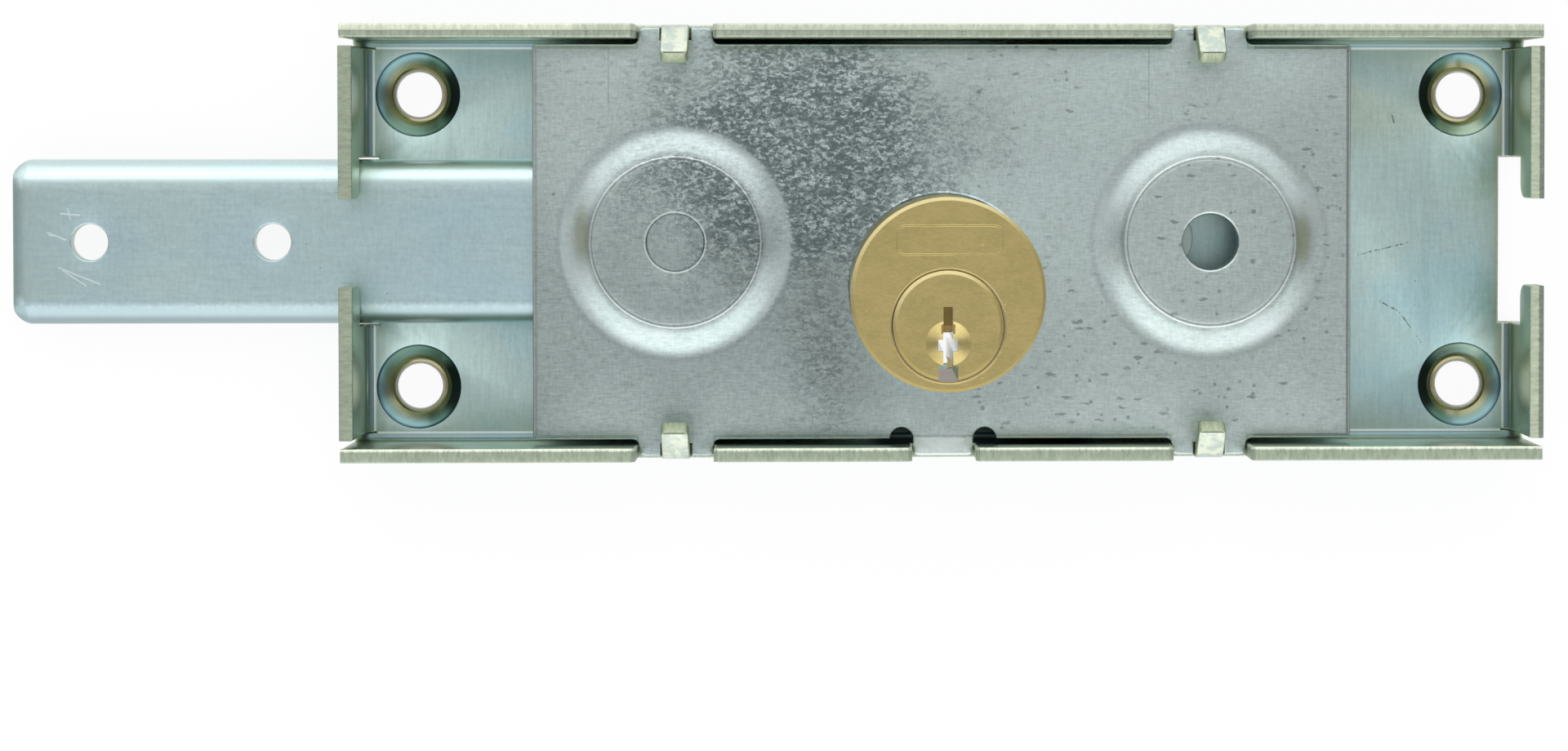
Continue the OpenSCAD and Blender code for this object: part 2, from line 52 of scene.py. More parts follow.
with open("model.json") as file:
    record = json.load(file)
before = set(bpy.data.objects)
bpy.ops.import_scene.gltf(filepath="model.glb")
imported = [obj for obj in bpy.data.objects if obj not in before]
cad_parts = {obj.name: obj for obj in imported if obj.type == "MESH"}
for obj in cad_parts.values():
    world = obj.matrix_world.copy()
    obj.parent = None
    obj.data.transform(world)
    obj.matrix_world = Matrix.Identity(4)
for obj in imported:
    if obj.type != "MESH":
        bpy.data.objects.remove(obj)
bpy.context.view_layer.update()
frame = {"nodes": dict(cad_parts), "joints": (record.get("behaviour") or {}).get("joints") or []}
MM = 0.001

# Places and sizes in millimetres
FIXING_HOLE = (68.0, 19.0)
SINK_RADIUS = 5.45
PILLARS = ((-18.0, -13.2), (-18.0, 13.2), (18.0, 7.6), (18.0, -6.83))
BODY_Y, PLUG_Y = -5.8, -9.6
DOME_X, DOME_RIM = 34.2, 15.4
BEND_X, BEND_Y = 73.7, 25.0


def node_size(node, axis):
    """Length of a CAD node's box along an axis, in metres."""
    low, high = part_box(node)
    return high[axis] - low[axis]


# Sizes and colours


def length_property(name, description, default):
    return bpy.props.FloatProperty(
        name=name, description=description, default=default, min=0.0, unit="LENGTH", precision=5
    )


def colour_property(name, description, default):
    return bpy.props.FloatVectorProperty(
        name=name, description=description, default=default, size=3, min=0.0, max=1.0, subtype="COLOR"
    )


class LockSizes(bpy.types.PropertyGroup):
    case_length: length_property("Case length", "Length over the end walls", node_size("case", 0))
    case_width: length_property("Case width", "Width over the long walls", node_size("case", 1))
    case_height: length_property("Case height", "Height of the walls", 0.013)
    case_sheet: length_property("Case sheet", "Thickness of the case's sheet", 0.0018)
    case_bend: length_property("Case bend", "Inside radius of the case's bends", 0.001)
    shear_round: length_property("Shear rounding", "Roll-over along a punched edge", 0.00028)
    cover_length: length_property("Cover length", "Length of the cover plate", 0.105)
    cover_width: length_property("Cover width", "Width of the cover plate", 0.0507)
    cover_sheet: length_property("Cover sheet", "Thickness of the cover plate", 0.0015)
    cover_foot: length_property("Cover height", "Height of the cover's underside", 0.0072)
    dome_offset: length_property("Dome offset", "Distance of a dome from the middle", 0.0342)
    dome_radius: length_property("Dome radius", "Outer radius of a dome", 0.0148)
    disc_radius: length_property("Disc radius", "Radius of a dome's flat disc", 0.0109)
    dome_height: length_property("Dome height", "Height of a dome", 0.0016)
    bar_width: length_property("Bar width", "Width of the bolt bar", node_size("bolt_bar", 1))
    bar_height: length_property("Bar height", "Height of the bolt bar", 0.005)
    bar_sheet: length_property("Bar sheet", "Thickness of the bar's sheet", 0.0018)
    bar_bend: length_property("Bar bend", "Outside radius of the bar's bends", 0.0031)


class LockColours(bpy.types.PropertyGroup):
    zinc: colour_property("Zinc", "Pale plating of the case", (0.465, 0.605, 0.585))
    zinc_blue: colour_property("Blue tint", "Blue tint of the plating", (0.385, 0.57, 0.61))
    zinc_olive: colour_property("Olive tint", "Olive tint of the plating", (0.49, 0.54, 0.41))
    bar_zinc: colour_property("Bar zinc", "Pale plating of the bolt bar", (0.475, 0.61, 0.62))
    shear: colour_property("Sheared edge", "Colour of a sheared edge", (0.37, 0.42, 0.335))
    galvanised: colour_property("Galvanised", "Colour of the cover plate", (0.515, 0.61, 0.60))
    spangle: colour_property("Spangle", "Dark crystals of the cover plate", (0.12, 0.155, 0.155))
    brass: colour_property("Brass", "Colour of the cylinder", (0.56, 0.455, 0.195))
    steel: colour_property("Steel", "Colour of the pins and screws", (0.60, 0.60, 0.61))


# Shader language


class Val:
    """A shader socket that takes Python arithmetic."""

    def __init__(self, board, socket):
        self.board = board
        self.socket = socket

    def math(self, operation, *others):
        return self.board.add("ShaderNodeMath", {"operation": operation}, dict(enumerate((self, *others))))

    def __add__(self, other):
        return self.math("ADD", other)

    __radd__ = __add__

    def __sub__(self, other):
        return self.math("SUBTRACT", other)

    def __rsub__(self, other):
        return self.board.add("ShaderNodeMath", {"operation": "SUBTRACT"}, {0: other, 1: self})

    def __mul__(self, other):
        return self.math("MULTIPLY", other)

    __rmul__ = __mul__

    def __truediv__(self, other):
        return self.math("DIVIDE", other)

    def __abs__(self):
        return self.math("ABSOLUTE")

    def above(self, edge):
        return self.math("GREATER_THAN", edge)

    def below(self, edge):
        return self.math("LESS_THAN", edge)

    def high(self, other):
        return self.math("MAXIMUM", other)

    def low(self, other):
        return self.math("MINIMUM", other)

    def ramp(self, start, end):
        """0 at start, 1 at end, smooth between them."""
        inputs = {"Value": self, "From Min": start, "From Max": end}
        return self.board.add("ShaderNodeMapRange", {"interpolation_type": "SMOOTHSTEP"}, inputs)


class Board:
    """The node tree of one material or world."""

    def __init__(self, tree):
        self.tree = tree
        self.tree.nodes.clear()

    def add(self, kind, settings=None, inputs=None, output=0):
        """A node of a type with its settings, then its sockets' values or links."""
        node = self.tree.nodes.new(kind)
        for key, value in (settings or {}).items():
            if key == "stops":
                self.fill_ramp(node, value)
            else:
                setattr(node, key, value)
        for key, value in (inputs or {}).items():
            if isinstance(value, Val):
                self.tree.links.new(value.socket, node.inputs[key])
            elif isinstance(value, tuple) and len(value) == 3 and node.inputs[key].type == "RGBA":
                node.inputs[key].default_value = (*value, 1.0)
            else:
                node.inputs[key].default_value = value
        return Val(self, node.outputs[output]) if node.outputs else None

    def fill_ramp(self, node, stops):
        elements = node.color_ramp.elements
        while len(elements) < len(stops):
            elements.new(0.5)
        for element, (place, colour) in zip(elements, stops):
            element.position = place
            element.color = (*colour, 1.0)

    def blend(self, share, first, second, kind="MIX"):
        """Mixes two colours by a share."""
        settings = {"data_type": "RGBA", "blend_type": kind}
        return self.add("ShaderNodeMix", settings, {0: share, 6: first, 7: second}, output=2)

    def paint(self, colour, layers):
        """Lays (share, colour) layers over a colour, one after the other."""
        for share, layer in layers:
            colour = self.blend(share, colour, layer)
        return colour

    def place(self):
        """The point in the piece's own frame, in metres."""
        return self.add("ShaderNodeTexCoord", output=3)

    def flat(self):
        """The point in the flat blank, in millimetres, as three values."""
        return self.split(self.attribute("flat", output=1))

    def split(self, vector):
        return [self.add("ShaderNodeSeparateXYZ", {}, {0: vector}, output=i) for i in range(3)]

    def vector(self, x, y, z=0.0):
        return self.add("ShaderNodeCombineXYZ", {}, {0: x, 1: y, 2: z})

    def stretch(self, vector, scale, shift=(0.0, 0.0, 0.0)):
        return self.add("ShaderNodeMapping", {}, {0: vector, "Scale": scale, "Location": shift})

    def noise(self, vector, scale, detail=3.0, rough=0.5, warp=0.0, output=0):
        return self.add(
            "ShaderNodeTexNoise",
            {},
            {"Vector": vector, "Scale": scale, "Detail": detail, "Roughness": rough, "Distortion": warp},
            output=output,
        )

    def grain(self, vector, scale, rough=0.6):
        """Noise drawn out along the axis of the smallest scale."""
        return self.noise(self.stretch(vector, scale), 1.0, 3.0, rough)

    def jittered(self, vector, scale, reach):
        """A vector moved by noise."""
        move = self.noise(vector, scale, 2.0, output=1)
        move = self.add("ShaderNodeVectorMath", {"operation": "SUBTRACT"}, {0: move, 1: (0.5, 0.5, 0.5)})
        move = self.add("ShaderNodeVectorMath", {"operation": "SCALE"}, {0: move, "Scale": reach})
        return self.add("ShaderNodeVectorMath", {"operation": "ADD"}, {0: vector, 1: move})

    def cells(self, vector, scale, output=0, metric="EUCLIDEAN"):
        inputs = {"Vector": vector, "Scale": scale}
        return self.add("ShaderNodeTexVoronoi", {"distance": metric}, inputs, output=output)

    def flecks(self, vector, scale, size, share, channel=0):
        """Small spots in the cells whose random value is above a share."""
        picked = self.split(self.cells(vector, scale, output=1))[channel].above(share)
        return self.cells(vector, scale).ramp(*size) * picked

    def colours(self, share, stops):
        """A colour that runs through stops."""
        return self.add("ShaderNodeValToRGB", {"stops": stops}, {0: share})

    def attribute(self, name, output=2):
        return self.add("ShaderNodeAttribute", {"attribute_name": name}, output=output)

    def shade(self, colour, light):
        """A colour times a brightness."""
        grey = self.add("ShaderNodeCombineColor", {}, {0: light, 1: light, 2: light})
        return self.blend(1.0, colour, grey, "MULTIPLY")

    def bump(self, height, distance, strength=0.6):
        inputs = {"Height": height, "Distance": distance, "Strength": strength}
        return self.add("ShaderNodeBump", {}, inputs)

    def metal(self, colour, rough, normal):
        inputs = {"Base Color": colour, "Roughness": rough, "Metallic": 1.0, "Normal": normal}
        shader = self.add("ShaderNodeBsdfPrincipled", {}, inputs)
        self.add("ShaderNodeOutputMaterial", {}, {"Surface": shader})


def new_material(name):
    material = bpy.data.materials.new(name)
    material.use_nodes = True
    return material, Board(material.node_tree)


# Sheet metal


def arc(centre, radius, start, end, steps):
    """Points on an arc, in millimetres and degrees."""
    angles = np.radians(np.linspace(start, end, steps + 1))
    return [(centre[0] + radius * math.cos(a), centre[1] + radius * math.sin(a)) for a in angles]


def circle(centre, radius, steps):
    return arc(centre, radius, 0, 360, steps)[:-1]


def cut_at_rows(loop, rows, longest):
    """Adds points where a loop crosses the rows of a bend, and along its long edges."""
    made = []
    for k, a in enumerate(loop):
        b = loop[(k + 1) % len(loop)]
        shares = {0.0}
        for axis, values in rows.items():
            span = b[axis] - a[axis]
            if abs(span) > 1e-6:
                shares |= {round((v - a[axis]) / span, 9) for v in values}
        inner = sorted(s for s in shares if 0.0 <= s < 1.0 - 1e-6)
        for s, e in zip(inner, inner[1:] + [1.0]):
            length = math.dist(a, b) * (e - s)
            count = max(1, math.ceil(length / longest))
            for i in range(count):
                t = s + (e - s) * i / count
                made.append((a[0] + (b[0] - a[0]) * t, a[1] + (b[1] - a[1]) * t))
    clean = [made[0]]
    for p in made[1:]:
        if math.dist(p, clean[-1]) > 0.01:
            clean.append(p)
    if math.dist(clean[0], clean[-1]) < 0.01:
        clean.pop()
    return clean


def inward(loop, hole):
    """Mitred unit steps into the sheet at each point of a loop."""
    p = np.array(loop)
    d = np.roll(p, -1, 0) - p
    d /= np.linalg.norm(d, axis=1)[:, None]
    n = np.stack([-d[:, 1], d[:, 0]], 1)
    area = np.sum(p[:, 0] * np.roll(p, -1, 0)[:, 1] - np.roll(p, -1, 0)[:, 0] * p[:, 1]) / 2
    if (area < 0) != hole:
        n = -n
    before = np.roll(n, 1, 0)
    m = n + before
    m /= np.maximum(np.linalg.norm(m, axis=1), 1e-6)[:, None]
    cosine = np.clip(np.sum(m * n, 1), 0.5, 1.0)
    return m / cosine[:, None]


def inside(points, loops):
    """Even-odd test of many points against all loops."""
    x, y = points[:, 0], points[:, 1]
    odd = np.zeros(len(points), bool)
    for loop in loops:
        p = np.array(loop)
        q = np.roll(p, -1, 0)
        for (x1, y1), (x2, y2) in zip(p, q):
            if y1 == y2:
                continue
            hit = ((y1 > y) != (y2 > y)) & (x < (x2 - x1) * (y - y1) / (y2 - y1) + x1)
            odd ^= hit
    return odd


def far_from(points, loops, gap):
    keep = np.ones(len(points), bool)
    for loop in loops:
        p = np.array(loop)
        q = np.roll(p, -1, 0)
        e = q - p
        length = np.maximum(np.sum(e * e, 1), 1e-12)
        for k in range(len(p)):
            t = np.clip(((points - p[k]) @ e[k]) / length[k], 0, 1)
            near = p[k] + t[:, None] * e[k]
            keep &= np.linalg.norm(points - near, axis=1) > gap
    return keep


def edge_profile(thick, round_up, round_down):
    """A rounded punched edge from the underside to the top, as (inset, height)."""
    turns = [math.pi / 8 * k for k in range(5)]
    profile = [(round_down * (1 - math.sin(a)), round_down * (1 - math.cos(a))) for a in turns]
    for a in turns:
        profile.append((round_up * (1 - math.cos(a)), thick - round_up + round_up * math.sin(a)))
    return profile


def row_points(row, bounds, fine):
    """Points along a row, and which of them lie in the sheet and clear of its edges."""
    axis, value, start, end = row
    line = np.zeros((max(2, int((end - start) / fine)), 2))
    line[:, axis] = value
    line[:, 1 - axis] = np.linspace(start, end, len(line))
    return [tuple(p) for p in line], inside(line, bounds) & far_from(line, bounds, 0.12)


def sheet_mesh(outline, holes, thick, round_up, round_down, place, rows=(), open_holes=(), fine=0.8):
    """A sheet with rounded punched edges. place puts (u, v, h) in millimetres into the frame.
    rows are straight lines (axis, value, start, end) that carry points, for bends.
    The edges of open_holes get no wall: other faces are joined there."""
    row_values = {}
    for axis, value, *_ in rows:
        row_values.setdefault(axis, set()).add(value)
    loops = [cut_at_rows(loop, row_values, 4.0) for loop in (outline, *holes)]
    steps = [inward(loop, k > 0) for k, loop in enumerate(loops)]
    mesh = bmesh.new()
    rim_layer = mesh.verts.layers.float.new("rim")
    flat_layer = mesh.verts.layers.float_vector.new("flat")

    def vertex(u, v, h, rim=0.0):
        vert = mesh.verts.new([c * MM for c in place(u, v, h)])
        vert[rim_layer] = rim
        vert[flat_layer] = (u, v, h)
        return vert

    profile = edge_profile(thick, round_up, round_down)
    sides = ([], [])
    for loop, step in zip(loops, steps):
        insets, rings = [], []
        for k, (inset, h) in enumerate(profile):
            rim = 0.0 if k in (0, len(profile) - 1) else 1.0
            insets.append([(p[0] + s[0] * inset, p[1] + s[1] * inset) for p, s in zip(loop, step)])
            rings.append([vertex(*p, h, rim) for p in insets[-1]])
        join_rings(mesh, rings)
        for side, k in ((0, 0), (1, -1)):
            sides[side].append((insets[k], rings[k]))
    for side, h in ((0, 0.0), (1, thick)):
        flats = sides[side] + [(hole, [vertex(*p, h) for p in hole]) for hole in open_holes]
        bounds = [flat for flat, _ in flats]
        points, verts, edges = [], [], []
        for flat, ring in flats:
            start, count = len(points), len(flat)
            points += flat
            verts += ring
            edges += [(start + i, start + (i + 1) % count) for i in range(count)]
        for row in rows:
            last = None
            for point, kept in zip(*row_points(row, bounds, fine)):
                if not kept:
                    last = None
                    continue
                points.append(point)
                verts.append(vertex(*point, h))
                if last is not None:
                    edges.append((last, len(points) - 1))
                last = len(points) - 1
        out, _, tris, origin = delaunay_2d_cdt([Vector(p) for p in points], edges, [], 0, 1e-7)[:4]
        centres = np.array([np.mean([out[i] for i in t], axis=0) for t in tris])
        corner_of = [verts[s[0]] if s else vertex(*out[i], h) for i, s in enumerate(origin)]
        for t, kept in zip(tris, inside(centres, bounds)):
            corners = [corner_of[i] for i in t]
            if kept and len(set(corners)) == 3 and mesh.faces.get(corners) is None:
                mesh.faces.new(corners if side else corners[::-1])
    return mesh


def join_rings(mesh, rings):
    """Faces between rings of equally many vertices."""
    for a, b in zip(rings, rings[1:]):
        for i in range(len(a)):
            j = (i + 1) % len(a)
            mesh.faces.new((a[i], a[j], b[j], b[i]))


def revolve(mesh, centre, profile, steps, close=False):
    """Turns a profile of (radius, height, rim) round a centre. close fills the last ring."""
    flat = mesh.verts.layers.float_vector["flat"]
    rim = mesh.verts.layers.float["rim"]
    rings = []
    for r, z, edge in profile:
        ring = []
        for x, y in circle(centre, r, steps):
            vert = mesh.verts.new((x * MM, y * MM, z * MM))
            vert[flat] = (x, y, z)
            vert[rim] = edge
            ring.append(vert)
        rings.append(ring)
    join_rings(mesh, rings)
    if close:
        mesh.faces.new(rings[-1])


def add_object(name, data, *materials):
    """An object in the scene with its materials."""
    for material in materials:
        data.materials.append(material)
    made = bpy.data.objects.new(name, data)
    bpy.context.scene.collection.objects.link(made)
    return made


def dress(node, material):
    """Gives a CAD node its finish."""
    data = frame["nodes"][node].data
    data.materials.clear()
    data.materials.append(material)


def finish_mesh(name, mesh, material, body, node):
    """Turns a bmesh into a smooth-shaded piece that rides on a body and stands for a CAD node."""
    bmesh.ops.remove_doubles(mesh, verts=mesh.verts, dist=2e-6)
    bmesh.ops.recalc_face_normals(mesh, faces=mesh.faces)
    data = bpy.data.meshes.new(name)
    mesh.to_mesh(data)
    mesh.free()
    data.polygons.foreach_set("use_smooth", [True] * len(data.polygons))
    data.set_sharp_from_angle(angle=math.radians(32))
    piece = add_object(name, data, material)
    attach(piece, body)
    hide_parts(node)
    dress(node, material)


def mirrored(points, x=1, y=1):
    made = [(p[0] * x, p[1] * y) for p in points]
    return made if x * y > 0 else made[::-1]


# The folded case


class CaseForm:
    """The case as a flat blank and its folds, in millimetres."""

    def __init__(self, sizes):
        self.length = sizes.case_length / MM
        self.width = sizes.case_width / MM
        self.height = sizes.case_height / MM
        self.sheet = sizes.case_sheet / MM
        self.bend = sizes.case_bend / MM
        self.outer = self.bend + self.sheet
        self.flat_x = self.length / 2 - self.outer
        self.flat_y = self.width / 2 - self.outer
        self.arc = math.pi / 2 * (self.bend + self.sheet / 2)
        self.corner = 0.03
        self.station = sizes.dome_offset / MM
        self.gap_floor = 7.2
        self.window_floor = 7.1
        self.tongue_half = 1.75
        self.tongue_zone = 2.2
        self.tongue_z = 8.4
        self.tongue_in = 0.4
        self.tongue_fold = math.radians(46)
        self.tongue_arc = self.tongue_fold * (self.tongue_in + self.sheet / 2)
        self.tongue_straight = 4.4

    def rise(self, z):
        """Distance from the bend line to height z on a wall of the blank."""
        return self.arc + z - self.outer

    def fold(self, over, h):
        """Horizontal reach past the bend line, and height, of a point over the bend line."""
        if over <= 0:
            return over, h
        if over < self.arc:
            turn = over / self.arc * math.pi / 2
            radius = self.outer - h
            return radius * math.sin(turn), self.outer - radius * math.cos(turn)
        return self.outer - h, self.outer + over - self.arc

    def fold_tongue(self, over, h):
        """As fold, with the tongue's own fold above its bend line."""
        past = over - self.rise(self.tongue_z)
        if past <= 0:
            return self.fold(over, h)
        big = self.tongue_in + self.sheet
        radius = big - h
        turn = min(past / self.tongue_arc, 1.0) * self.tongue_fold
        rest = max(past - self.tongue_arc, 0.0)
        reach = self.outer - big + radius * math.cos(turn) - rest * math.sin(turn)
        return reach, self.tongue_z + radius * math.sin(turn) + rest * math.cos(turn)

    def place(self, u, v, h):
        """Puts a point of the blank into the frame."""
        if abs(v) > self.flat_y + self.corner / 2:
            over = abs(v) - self.flat_y
            near = min(abs(u - self.station), abs(u + self.station))
            reach, z = self.fold_tongue(over, h) if near < self.tongue_zone else self.fold(over, h)
            return u, math.copysign(self.flat_y + reach, v), z
        if abs(u) > self.flat_x:
            reach, z = self.fold(abs(u) - self.flat_x, h)
            return math.copysign(self.flat_x + reach, u), v, z
        return u, v, h

    def gap(self, centre, half, tongue):
        """A gap of the long wall, as points with u rising, and the tongue in it."""
        top = self.flat_y + self.rise(self.height)
        floor = self.flat_y + self.rise(self.gap_floor)
        tip = self.flat_y + self.rise(self.tongue_z) + self.tongue_arc + self.tongue_straight
        left = [(-half - 0.5, top), (-half, top - 0.5), (-half, floor)]
        middle = []
        if tongue:
            side, turn = self.tongue_half, 0.7
            middle = [(-side, floor), (-side, tip - turn)]
            middle += arc((turn - side, tip - turn), turn, 180, 90, 5)[1:]
            middle += arc((side - turn, tip - turn), turn, 90, 0, 5)
            middle += [(side, floor)]
        right = [(half, floor), (half, top - 0.5), (half + 0.5, top)]
        return [(x + centre, y) for x, y in left + middle + right]

    def window_side(self):
        """The upper edge of the right end window in the blank, from the wall's top inwards."""
        top = self.flat_x + self.rise(self.height)
        bar = self.flat_x + self.rise(self.window_floor)
        mouth, turn, half = 5.55, 2.0, 10.8
        points = [(top, mouth)]
        for a in np.radians(np.linspace(0, 90, 9)):
            points.append((bar + turn - turn * math.sin(a), mouth + turn - turn * math.cos(a)))
        return points + [(bar, half), (self.flat_x - 0.6, half)]

    def end_wall(self):
        """The right end wall and its window, from the lower corner slot to the upper one."""
        top = self.flat_x + self.rise(self.height)
        upper = self.window_side()
        lower = mirrored(upper, y=-1)[::-1]
        start = [(self.flat_x - 0.1, -self.flat_y), (top, -self.flat_y)]
        end = [(top, self.flat_y), (self.flat_x - 0.1, self.flat_y)]
        return start + lower + upper[::-1] + end

    def long_wall(self, middle):
        """The upper long wall, from the right corner slot to the left one."""
        top = self.flat_y + self.rise(self.height)
        side = self.flat_y + self.corner
        end = self.length / 2 - 0.15
        gaps = [self.gap(-self.station, 4.95, True)]
        if middle:
            gaps.append(self.gap(0.0, 4.05, False))
        gaps.append(self.gap(self.station, 4.95, True))
        points = [(self.flat_x - 0.1, side), (end, side), (end, top)]
        for gap in gaps[::-1]:
            points += gap[::-1]
        points += [(-end, top), (-end, side), (-self.flat_x + 0.1, side)]
        return points

    def outline(self):
        right = self.end_wall()
        left = [(-x, -y) for x, y in right]
        upper = self.long_wall(False)
        lower = [(-x, -y) for x, y in self.long_wall(True)]
        return right + upper + left + lower

    def rows(self):
        made = []
        for share in np.linspace(0, 1, 9):
            for sign in (-1, 1):
                made.append((1, sign * (self.flat_y + self.arc * share), -76.2, 76.2))
                made.append((0, sign * (self.flat_x + self.arc * share), -24.9, 24.9))
        start = self.flat_y + self.rise(self.tongue_z)
        for share in np.linspace(0, 1, 7):
            for sign in (-1, 1):
                for x in (-self.station, self.station):
                    made.append((1, sign * (start + self.tongue_arc * share), x - 1.6, x + 1.6))
        return made


def case_mesh(sizes):
    form = CaseForm(sizes)
    sinks = [(sx * FIXING_HOLE[0], sy * FIXING_HOLE[1]) for sx in (-1, 1) for sy in (-1, 1)]
    plain = [circle((0.0, PLUG_Y), 6.6, 64)]
    plain += [circle(place, 1.48, 24) for place in PILLARS]
    plain += [circle((side * 9.05, -6.0), 2.0, 32) for side in (-1, 1)]
    shear = sizes.shear_round / MM
    mesh = sheet_mesh(
        form.outline(), plain, form.sheet, shear, shear * 0.6, form.place,
        rows=form.rows(), open_holes=[circle(place, SINK_RADIUS, 72) for place in sinks], fine=1.0,
    )
    for place in sinks:
        countersink(mesh, place, form.sheet)
    return mesh


def countersink(mesh, centre, sheet):
    """A punched countersink: crisp outer edge, cone, rounded lip and the straight hole."""
    profile = [(SINK_RADIUS, sheet), (5.38, sheet - 0.03), (5.33, sheet - 0.10)]
    profile += [(5.33 - 1.75 * t, sheet - 0.10 - 1.28 * t ** 1.15) for t in np.linspace(0.1, 1, 8)]
    for a in np.linspace(0.2, math.pi / 2, 6):
        profile.append((3.58 - 0.60 * math.sin(a), 0.42 + 0.16 * math.sin(2 * a)))
    profile += [(2.9, 0.25), (2.92, 0.05), (3.0, 0.0), (SINK_RADIUS, 0.0)]
    revolve(mesh, centre, [(r, z, 0.0) for r, z in profile], 72)


# The cover plate


def cover_outline(sizes):
    half_l = sizes.cover_length / MM / 2
    half_w = sizes.cover_width / MM / 2
    station = sizes.dome_offset / MM
    tip = 27.5

    def corner_wing(x):
        """One wing on the upper edge, from its right root to its left root."""
        points = arc((x + 5.6, half_w + 0.8), 0.8, 270, 180, 6)
        points += arc((x + 4.0, tip - 0.8), 0.8, 0, 90, 6)
        points += [(x + 1.9, tip), (x + 1.9, 25.85), (x - 1.9, 25.85), (x - 1.9, tip)]
        points += arc((x - 4.0, tip - 0.8), 0.8, 90, 180, 6)
        points += arc((x - 5.6, half_w + 0.8), 0.8, 0, -90, 6)
        return points

    upper = arc((half_l - 0.5, half_w - 0.5), 0.5, 0, 90, 4)
    upper += corner_wing(station) + corner_wing(-station)
    upper += arc((-half_l + 0.5, half_w - 0.5), 0.5, 90, 180, 4)
    lower = arc((-half_l + 0.5, -half_w + 0.5), 0.5, 180, 270, 4)
    lower += [(-x, -y) for x, y in corner_wing(station)]
    lower += arc((-5.35, -half_w), 1.45, 180, 0, 14)
    lower += arc((-3.1, -tip + 0.8), 0.8, 180, 270, 5) + arc((3.1, -tip + 0.8), 0.8, 270, 360, 5)
    lower += arc((5.35, -half_w), 1.45, 180, 0, 14)
    lower += [(-x, -y) for x, y in corner_wing(-station)]
    lower += arc((half_l - 0.5, -half_w + 0.5), 0.5, 270, 360, 4)
    return upper + lower


def dome_profile(sizes, inner):
    """Upper side of a dome as (radius, height above the plate), from the foot inwards."""
    foot = sizes.dome_radius / MM
    disc = sizes.disc_radius / MM
    height = sizes.dome_height / MM
    points = [(DOME_RIM, 0.0), (foot + 0.25, 0.0)]
    steps = np.linspace(0, 1, 25)
    slopes = np.sin(math.pi / 2 * steps) ** 1.05
    climb = np.concatenate([[0.0], np.cumsum((slopes[1:] + slopes[:-1]) / 2)])
    for t, z in zip(steps[:-1], climb / climb[-1]):
        points.append((foot + (disc - foot) * t, height * z))
    points += [
        (disc + 0.02, height - 0.035), (disc - 0.06, height - 0.005), (disc - 0.16, height + 0.01),
        (disc - 0.26, height - 0.03), (disc - 0.34, height - 0.05), (disc - 0.44, height - 0.02),
        (disc - 0.56, height), (disc - 2.0, height),
    ]
    return points + inner


def cover_mesh(sizes):
    sheet = sizes.cover_sheet / MM
    foot = sizes.cover_foot / MM
    top = foot + sheet
    station = sizes.dome_offset / MM
    steps = 144

    def place(u, v, h):
        return u, v, foot + h

    mesh = sheet_mesh(
        cover_outline(sizes), [circle((0.0, BODY_Y), 12.0, 96)], sheet, 0.34, 0.12, place,
        open_holes=[circle((side * station, 0.0), DOME_RIM, steps) for side in (-1, 1)],
    )
    height = sizes.dome_height / MM
    slug = [(3.86, height), (3.8, height + 0.012), (3.74, height - 0.02), (3.70, height - 0.10),
            (3.68, height - 0.28), (3.62, height - 0.34), (3.5, height - 0.36), (1.5, height - 0.36)]
    hole = [(3.95, height), (3.82, height - 0.02), (3.70, height - 0.07), (3.60, height - 0.17),
            (3.55, height - 0.32), (3.55, height - sheet + 0.08), (3.63, height - sheet)]
    for side, inner in ((-1, slug), (1, hole)):
        upper = [(r, top + z, 0.0) for r, z in dome_profile(sizes, inner)]
        under = [(r, foot + z, 0.0) for r, z in dome_profile(sizes, [(3.63, height)])]
        if side > 0:
            upper[-5:-1] = [(r, z, 0.6) for r, z, _ in upper[-5:-1]]
        else:
            under.append((3.6, foot + height - 0.34, 0.0))
        for profile in (upper, under):
            revolve(mesh, (side * station, 0.0), profile, steps, side < 0)
    return mesh


# The bolt bar


